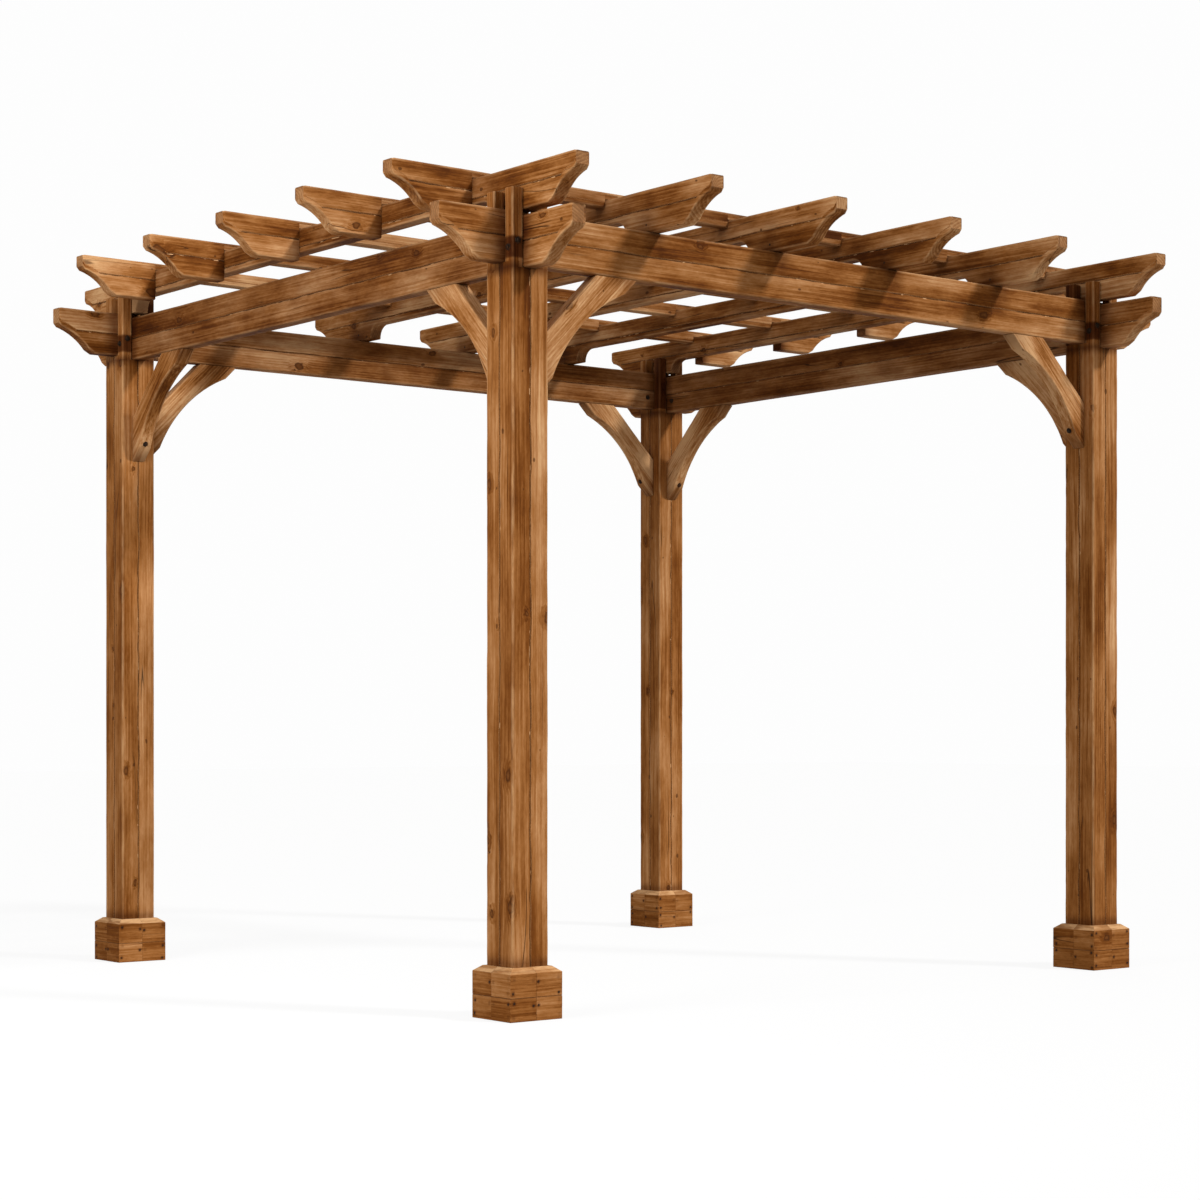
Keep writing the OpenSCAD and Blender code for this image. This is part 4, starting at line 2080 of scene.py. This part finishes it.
class WoodPattern:
    """Nodes that draw a wood finish from the marks on a mesh."""

    def __init__(self, graph: Graph, finish: WoodFinish) -> None:
        """Draws what several parts of the pattern share.

        Args:
            graph: The material's nodes.
            finish: The finish.
        """
        self.graph = graph
        self.finish = finish
        self.core, self.rim, self.swirl, self.heart = finish.knots.drawn(graph)
        self.pin = finish.pins.drawn(graph)[0]
        self.grain = graph.vector("grain") + self.swirl * (0.0, 0.009, 0.009)
        self.across = graph.value("across").rising(0.5, 0.95)
        self.late = self.rings()
        self.streak = self.noise(Layer.STREAK)
        self.fibre = self.noise(Layer.FIBRE)

    def noise(self, layer: Layer, output: Any = 0) -> Wire:
        """Adds one of the wood's noises."""
        along, across, detail, roughness = layer.value
        return self.graph.noise(self.grain, (along, across, across), detail, output, roughness)

    def draw(self) -> None:
        """Lays the colours over each other and ends the material."""
        graph, finish, streak = self.graph, self.finish, self.streak
        colour = graph.node("ShaderNodeValToRGB", {"stops": finish.stops()}, {"Fac": self.shade()})
        seam, split = self.seam(), self.checks()
        layers = (
            (finish.knot, self.core * (0.50 + 0.8 * streak)),
            (finish.knot_heart, self.heart * 0.40),
            (finish.knot_rim, self.rim * (0.2 + 0.8 * streak)),
            (finish.pin, self.pin * 0.75),
            (finish.end_grain, self.across * 0.5),
            (finish.worn, self.rubbed()),
            (finish.crack, seam),
            (finish.crack, split * 0.85),
            (finish.worn, self.chips()),
        )
        for layer, share in layers:
            colour = graph.blend(colour, layer, share)
        # Multiplies in the darkening: stain and painted shade.
        colour = graph.blend(colour, finish.stain, self.stained(), "MULTIPLY")

        height = 0.25 * self.late + 0.6 * streak + 0.5 * self.fibre
        height = height - 1.4 * split - 0.5 * self.rim - 0.8 * seam
        rough = finish.roughness + 0.16 * (streak - 0.5) - 0.08 * (self.late - 0.4) + 0.1 * split
        inputs = {"Base Color": colour, "Roughness": rough, "Specular IOR Level": finish.gloss}
        graph.surface(inputs, height, strength=0.5, distance=0.0016)

    def shade(self) -> Wire:
        """Adds up what makes the wood darker or paler.

        Returns:
            Place on the ramp of colours.
        """
        finish = self.finish
        band = self.noise(Layer.BAND)
        patch = self.noise(Layer.PATCH)
        cloud = self.noise(Layer.CLOUD)
        masked = self.noise(Layer.RING_MASK).rising(0.40, 0.62)
        rings = (self.late - 0.42) * (0.045 + 0.08 * masked + 0.22 * self.across)
        grit = self.noise(Layer.GRIT)
        scratch = self.noise(Layer.SCRATCH).rising(0.60, 0.70)
        fine = 0.85 * (self.streak - 0.5) + 0.36 * (band - 0.5) + 0.30 * (self.fibre - 0.5)
        fine = fine + 0.34 * (grit - 0.5) - 0.13 * scratch
        broad = 0.95 * (patch - 0.5) + 0.45 * (cloud - 0.5)
        figured = 0.54 + finish.shift + rings + finish.figure * fine + finish.patchy * broad
        return figured + finish.mottle * self.graph.value("tone") - 0.16 * self.swirl

    def rings(self) -> Wire:
        """Draws the year's rings round the heart of the tree, bent by the knots.

        Returns:
            Late wood, from 0 to 1.
        """
        sway = self.noise(Layer.RING_SWAY, "Color") - (0.5, 0.5, 0.5)
        heart = self.graph.vector("heart") + sway * (0.045, 0.045, 0.0)
        away = self.graph.node("ShaderNodeVectorMath", {"operation": "LENGTH"}, {0: heart}, "Value")
        turn = (away + 0.016 * self.swirl) / self.finish.ring
        part = turn.math("FRACT", turn)
        return part.rising(0.05, 0.85) * part.rising(1.0, 0.86)

    def checks(self) -> Wire:
        """Draws long drying cracks."""
        line, where = self.noise(Layer.CRACK), self.noise(Layer.CRACK_MASK)
        return abs(line - 0.5).rising(0.009, 0.002) * where.rising(0.58, 0.66)

    def rubbed(self) -> Wire:
        """Draws where edges are worn pale, and the paler sloped tops of the bases."""
        rub = self.noise(Layer.RUB).rising(0.36, 0.66)
        return self.graph.value("wear") * (0.2 + 0.8 * rub) * 0.6

    def seam(self) -> Wire:
        """Draws the broken dark line of a glue seam."""
        broken = self.noise(Layer.SEAM_BREAK).rising(0.42, 0.58)
        return self.graph.value("seam").rising(0.10, 0.60) * (0.24 + 0.66 * broken)

    def chips(self) -> Wire:
        """Draws pale chips beside a glue seam."""
        spot = self.noise(Layer.CHIP).rising(0.605, 0.66)
        return self.graph.value("seam").rising(0.02, 0.2) * spot * 0.9

    def stained(self) -> Wire:
        """Draws the darker wood beside joints and under the roof: partly stain, mostly painted shade."""
        uneven = self.noise(Layer.STAIN)
        return (self.graph.value("stain") * (0.55 + 0.9 * uneven)).rising(0.0, 1.05)


@dataclass(frozen=True)
class SteelFinish:
    """Blackened steel with a little rust.

    Attributes:
        name: Name of the material.
        black: Colour of the steel.
        rust: Colour of the rust.
        gloss: Strength of the mirror-like part of the light.
    """

    name: str = "blackened_steel"
    black: Colour = (0.016, 0.009, 0.005)
    rust: Colour = (0.060, 0.020, 0.006)
    gloss: float = 0.10

    def material(self) -> bpy.types.Material:
        """Builds the material.

        Returns:
            The material.
        """
        made, graph = new_material(self.name)
        place = graph.node("ShaderNodeTexCoord", {}, {}, "Object")
        mottle = graph.noise(place, (160.0, 160.0, 160.0), 4.0)
        rust = graph.noise(place, (55.0, 55.0, 55.0), 3.0).rising(0.50, 0.66)
        inputs = {
            "Base Color": graph.blend(self.black, self.rust, rust * 0.8),
            "Metallic": 0.12 - 0.1 * rust,
            "Specular IOR Level": self.gloss,
            "Roughness": 0.52 + 0.3 * rust + 0.15 * mottle,
        }
        graph.surface(inputs, mottle, strength=0.4, distance=0.0006)
        return made


@dataclass(frozen=True)
class Sun:
    """A far soft lamp.

    Attributes:
        name: Its name.
        strength: Its strength.
        spread: Angle that it fills, in degrees.
        origin: Direction that it shines from.
    """

    name: str
    strength: float
    spread: float
    origin: Triple

    def build(self) -> None:
        """Sets up the lamp."""
        data = bpy.data.lights.new(self.name, "SUN")
        data.energy = self.strength
        data.angle = math.radians(self.spread)
        made = add_object(self.name, data)
        made.rotation_euler = Vector(self.origin).to_track_quat("Z", "Y").to_euler()


@dataclass(frozen=True)
class Softbox:
    """A near square lamp, which the camera doesn't see.

    Attributes:
        name: Its name.
        power: Its power.
        width: Its width.
        place: Where it is.
        aim: What it looks at.
    """

    name: str
    power: float
    width: float
    place: Triple
    aim: Triple = (0.0, 0.0, 1.0)

    def build(self) -> None:
        """Sets up the lamp."""
        data = bpy.data.lights.new(self.name, "AREA")
        data.energy = self.power
        data.size = self.width
        made = add_object(self.name, data)
        made.location = self.place
        made.rotation_euler = (Vector(self.place) - Vector(self.aim)).to_track_quat("Z", "Y").to_euler()
        made.visible_camera = False


@dataclass
class Studio:
    """Camera, lamps, white surroundings and floor.

    Attributes:
        eye: Place of the camera.
        heading: Angle of the view from +Y towards +X.
        pitch: Angle of the view above the level.
        focal_px: Focal length in pixels of the picture.
        drop_px: How far the level of the eye is below the picture's middle.
        picture_px: Width of the picture.
        sensor_mm: Width of the camera's sensor.
        lamps: The lamps.
        sky: Strength of the surroundings as light.
        sky_tint: Colour of the surroundings as light.
        white: White of the background.
        floor_half: Half width of the floor.
        floor_lit: Grey of the floor as it throws light back.
        floor_shaded: Grey of the floor where it shows a shadow.
        floor_white: Share of the floor that shows as plain background.
    """

    eye: Triple = (-6.129, -7.723, 0.919)
    heading: float = 0.6697
    pitch: float = -0.0011
    focal_px: float = 2545.7
    drop_px: float = 128.9
    picture_px: float = 1200.0
    sensor_mm: float = 36.0
    lamps: tuple[Sun | Softbox, ...] = (
        Sun("key_lamp", 2.75, 7.0, (0.55, -1.0, 0.85)),
        Sun("front_lamp", 0.40, 40.0, (-0.1, -1.0, 0.2)),
        Sun("back_lamp", 0.55, 40.0, (0.8, 1.0, 0.8)),
        Softbox("side_lamp", 215.0, 2.4, (-6.0, -1.6, 3.4)),
    )
    sky: float = 0.39
    sky_tint: Colour = (1.0, 0.985, 0.96)
    white: float = 0.985
    floor_half: float = 40.0
    floor_lit: float = 0.42
    floor_shaded: float = 0.9
    floor_white: float = 0.90

    def build(self) -> None:
        """Builds all of it."""
        bpy.context.scene.view_settings.view_transform = "Standard"
        self.camera()
        for lamp in self.lamps:
            lamp.build()
        self.surroundings()
        self.floor()

    def camera(self) -> None:
        """Sets up the camera of the photograph."""
        data = bpy.data.cameras.new("camera")
        data.sensor_width = self.sensor_mm
        data.lens = self.sensor_mm * self.focal_px / self.picture_px
        data.shift_y = self.drop_px / self.picture_px
        made = add_object("camera", data)
        made.location = self.eye
        made.rotation_euler = (math.pi / 2.0 + self.pitch, 0.0, -self.heading)
        bpy.context.scene.camera = made

    def seen(self, graph: Graph) -> Wire:
        """Tells rays that look at the background from rays that gather light.

        Args:
            graph: Nodes of the world or the floor.

        Returns:
            1 for camera, glossy and transmission rays.
        """
        names = ("Is Camera Ray", "Is Glossy Ray", "Is Transmission Ray")
        camera, glossy, through = (graph.node("ShaderNodeLightPath", {}, {}, name) for name in names)
        return camera.math("MAXIMUM", camera.math("MAXIMUM", camera, glossy), through)

    def surroundings(self) -> None:
        """Makes the world white to look at and softer as light."""
        world = bpy.data.worlds.new("studio")
        world.use_nodes = True
        bpy.context.scene.world = world
        graph = Graph(world.node_tree)
        tint = (*self.sky_tint, 1.0)
        light = graph.node("ShaderNodeBackground", {}, {"Color": tint, "Strength": self.sky})
        white = graph.node("ShaderNodeBackground", {}, {"Color": grey(1.0), "Strength": self.white})
        mixed = graph.node("ShaderNodeMixShader", {}, {0: self.seen(graph), 1: light, 2: white})
        graph.node("ShaderNodeOutputWorld", {}, {"Surface": mixed})

    def floor(self) -> None:
        """Lays a pale floor that keeps a faint shadow."""
        half = self.floor_half
        corners = [(-half, -half, 0.0), (half, -half, 0.0), (half, half, 0.0), (-half, half, 0.0)]
        mesh = bpy.data.meshes.new("floor")
        mesh.from_pydata(corners, [], [[0, 1, 2, 3]])
        piece = add_object("floor", mesh)
        made, graph = new_material("pale_floor")
        lit = graph.node("ShaderNodeBsdfDiffuse", {}, {"Color": grey(self.floor_lit)})
        shaded = graph.node("ShaderNodeBsdfDiffuse", {}, {"Color": grey(self.floor_shaded)})
        white = graph.node("ShaderNodeEmission", {}, {"Color": grey(1.0), "Strength": self.white})
        shown = graph.node("ShaderNodeMixShader", {}, {0: self.floor_white, 1: shaded, 2: white})
        mixed = graph.node("ShaderNodeMixShader", {}, {0: self.seen(graph), 1: lit, 2: shown})
        graph.node("ShaderNodeOutputMaterial", {}, {"Surface": mixed})
        mesh.materials.append(made)


def grey(value: float) -> tuple[float, float, float, float]:
    """Makes an opaque grey."""
    return (value, value, value, 1.0)


def main() -> None:
    """Sets up the studio, builds the pergola piece by piece and dresses it."""
    logging.basicConfig(level=logging.INFO, format="%(name)s: %(message)s")
    plan = Plan.read()
    Studio().build()
    posts, bases, beams, braces = Posts(plan), Bases(plan), Beams(plan), Braces(plan)
    rafters, slats = Rafters(plan), Slats(plan)
    fixings = Fixings(plan, bases, braces)
    for group in (posts, bases, beams, braces, rafters, slats, fixings):
        group.build()

    post_knots = Knots(share=0.30, places=(4.4, 7.2), size=0.058)
    beam_knots = Knots(share=0.14, places=(4.4, 7.2), size=0.060)
    finishes: tuple[tuple[WoodFinish | SteelFinish, tuple[Assembly, ...]], ...] = (
        (WoodFinish("post_oiled_wood", shift=-0.05, patchy=1.15, figure=0.76, knots=post_knots), (posts,)),
        (WoodFinish("base_oiled_wood", shift=-0.07, patchy=0.8, figure=0.8, mottle=0.03), (bases,)),
        (WoodFinish("beam_oiled_wood", shift=-0.02, patchy=1.5, knots=beam_knots), (beams,)),
        (WoodFinish("brace_oiled_wood", shift=0.13, patchy=1.7, figure=1.3), (braces,)),
        (WoodFinish("roof_oiled_wood", shift=0.02, patchy=2.0), (rafters, slats)),
        (SteelFinish(), (fixings,)),
    )
    for finish, groups in finishes:
        material = finish.material()
        for group in groups:
            group.dress(material)


if __name__ == "__main__":
    main()
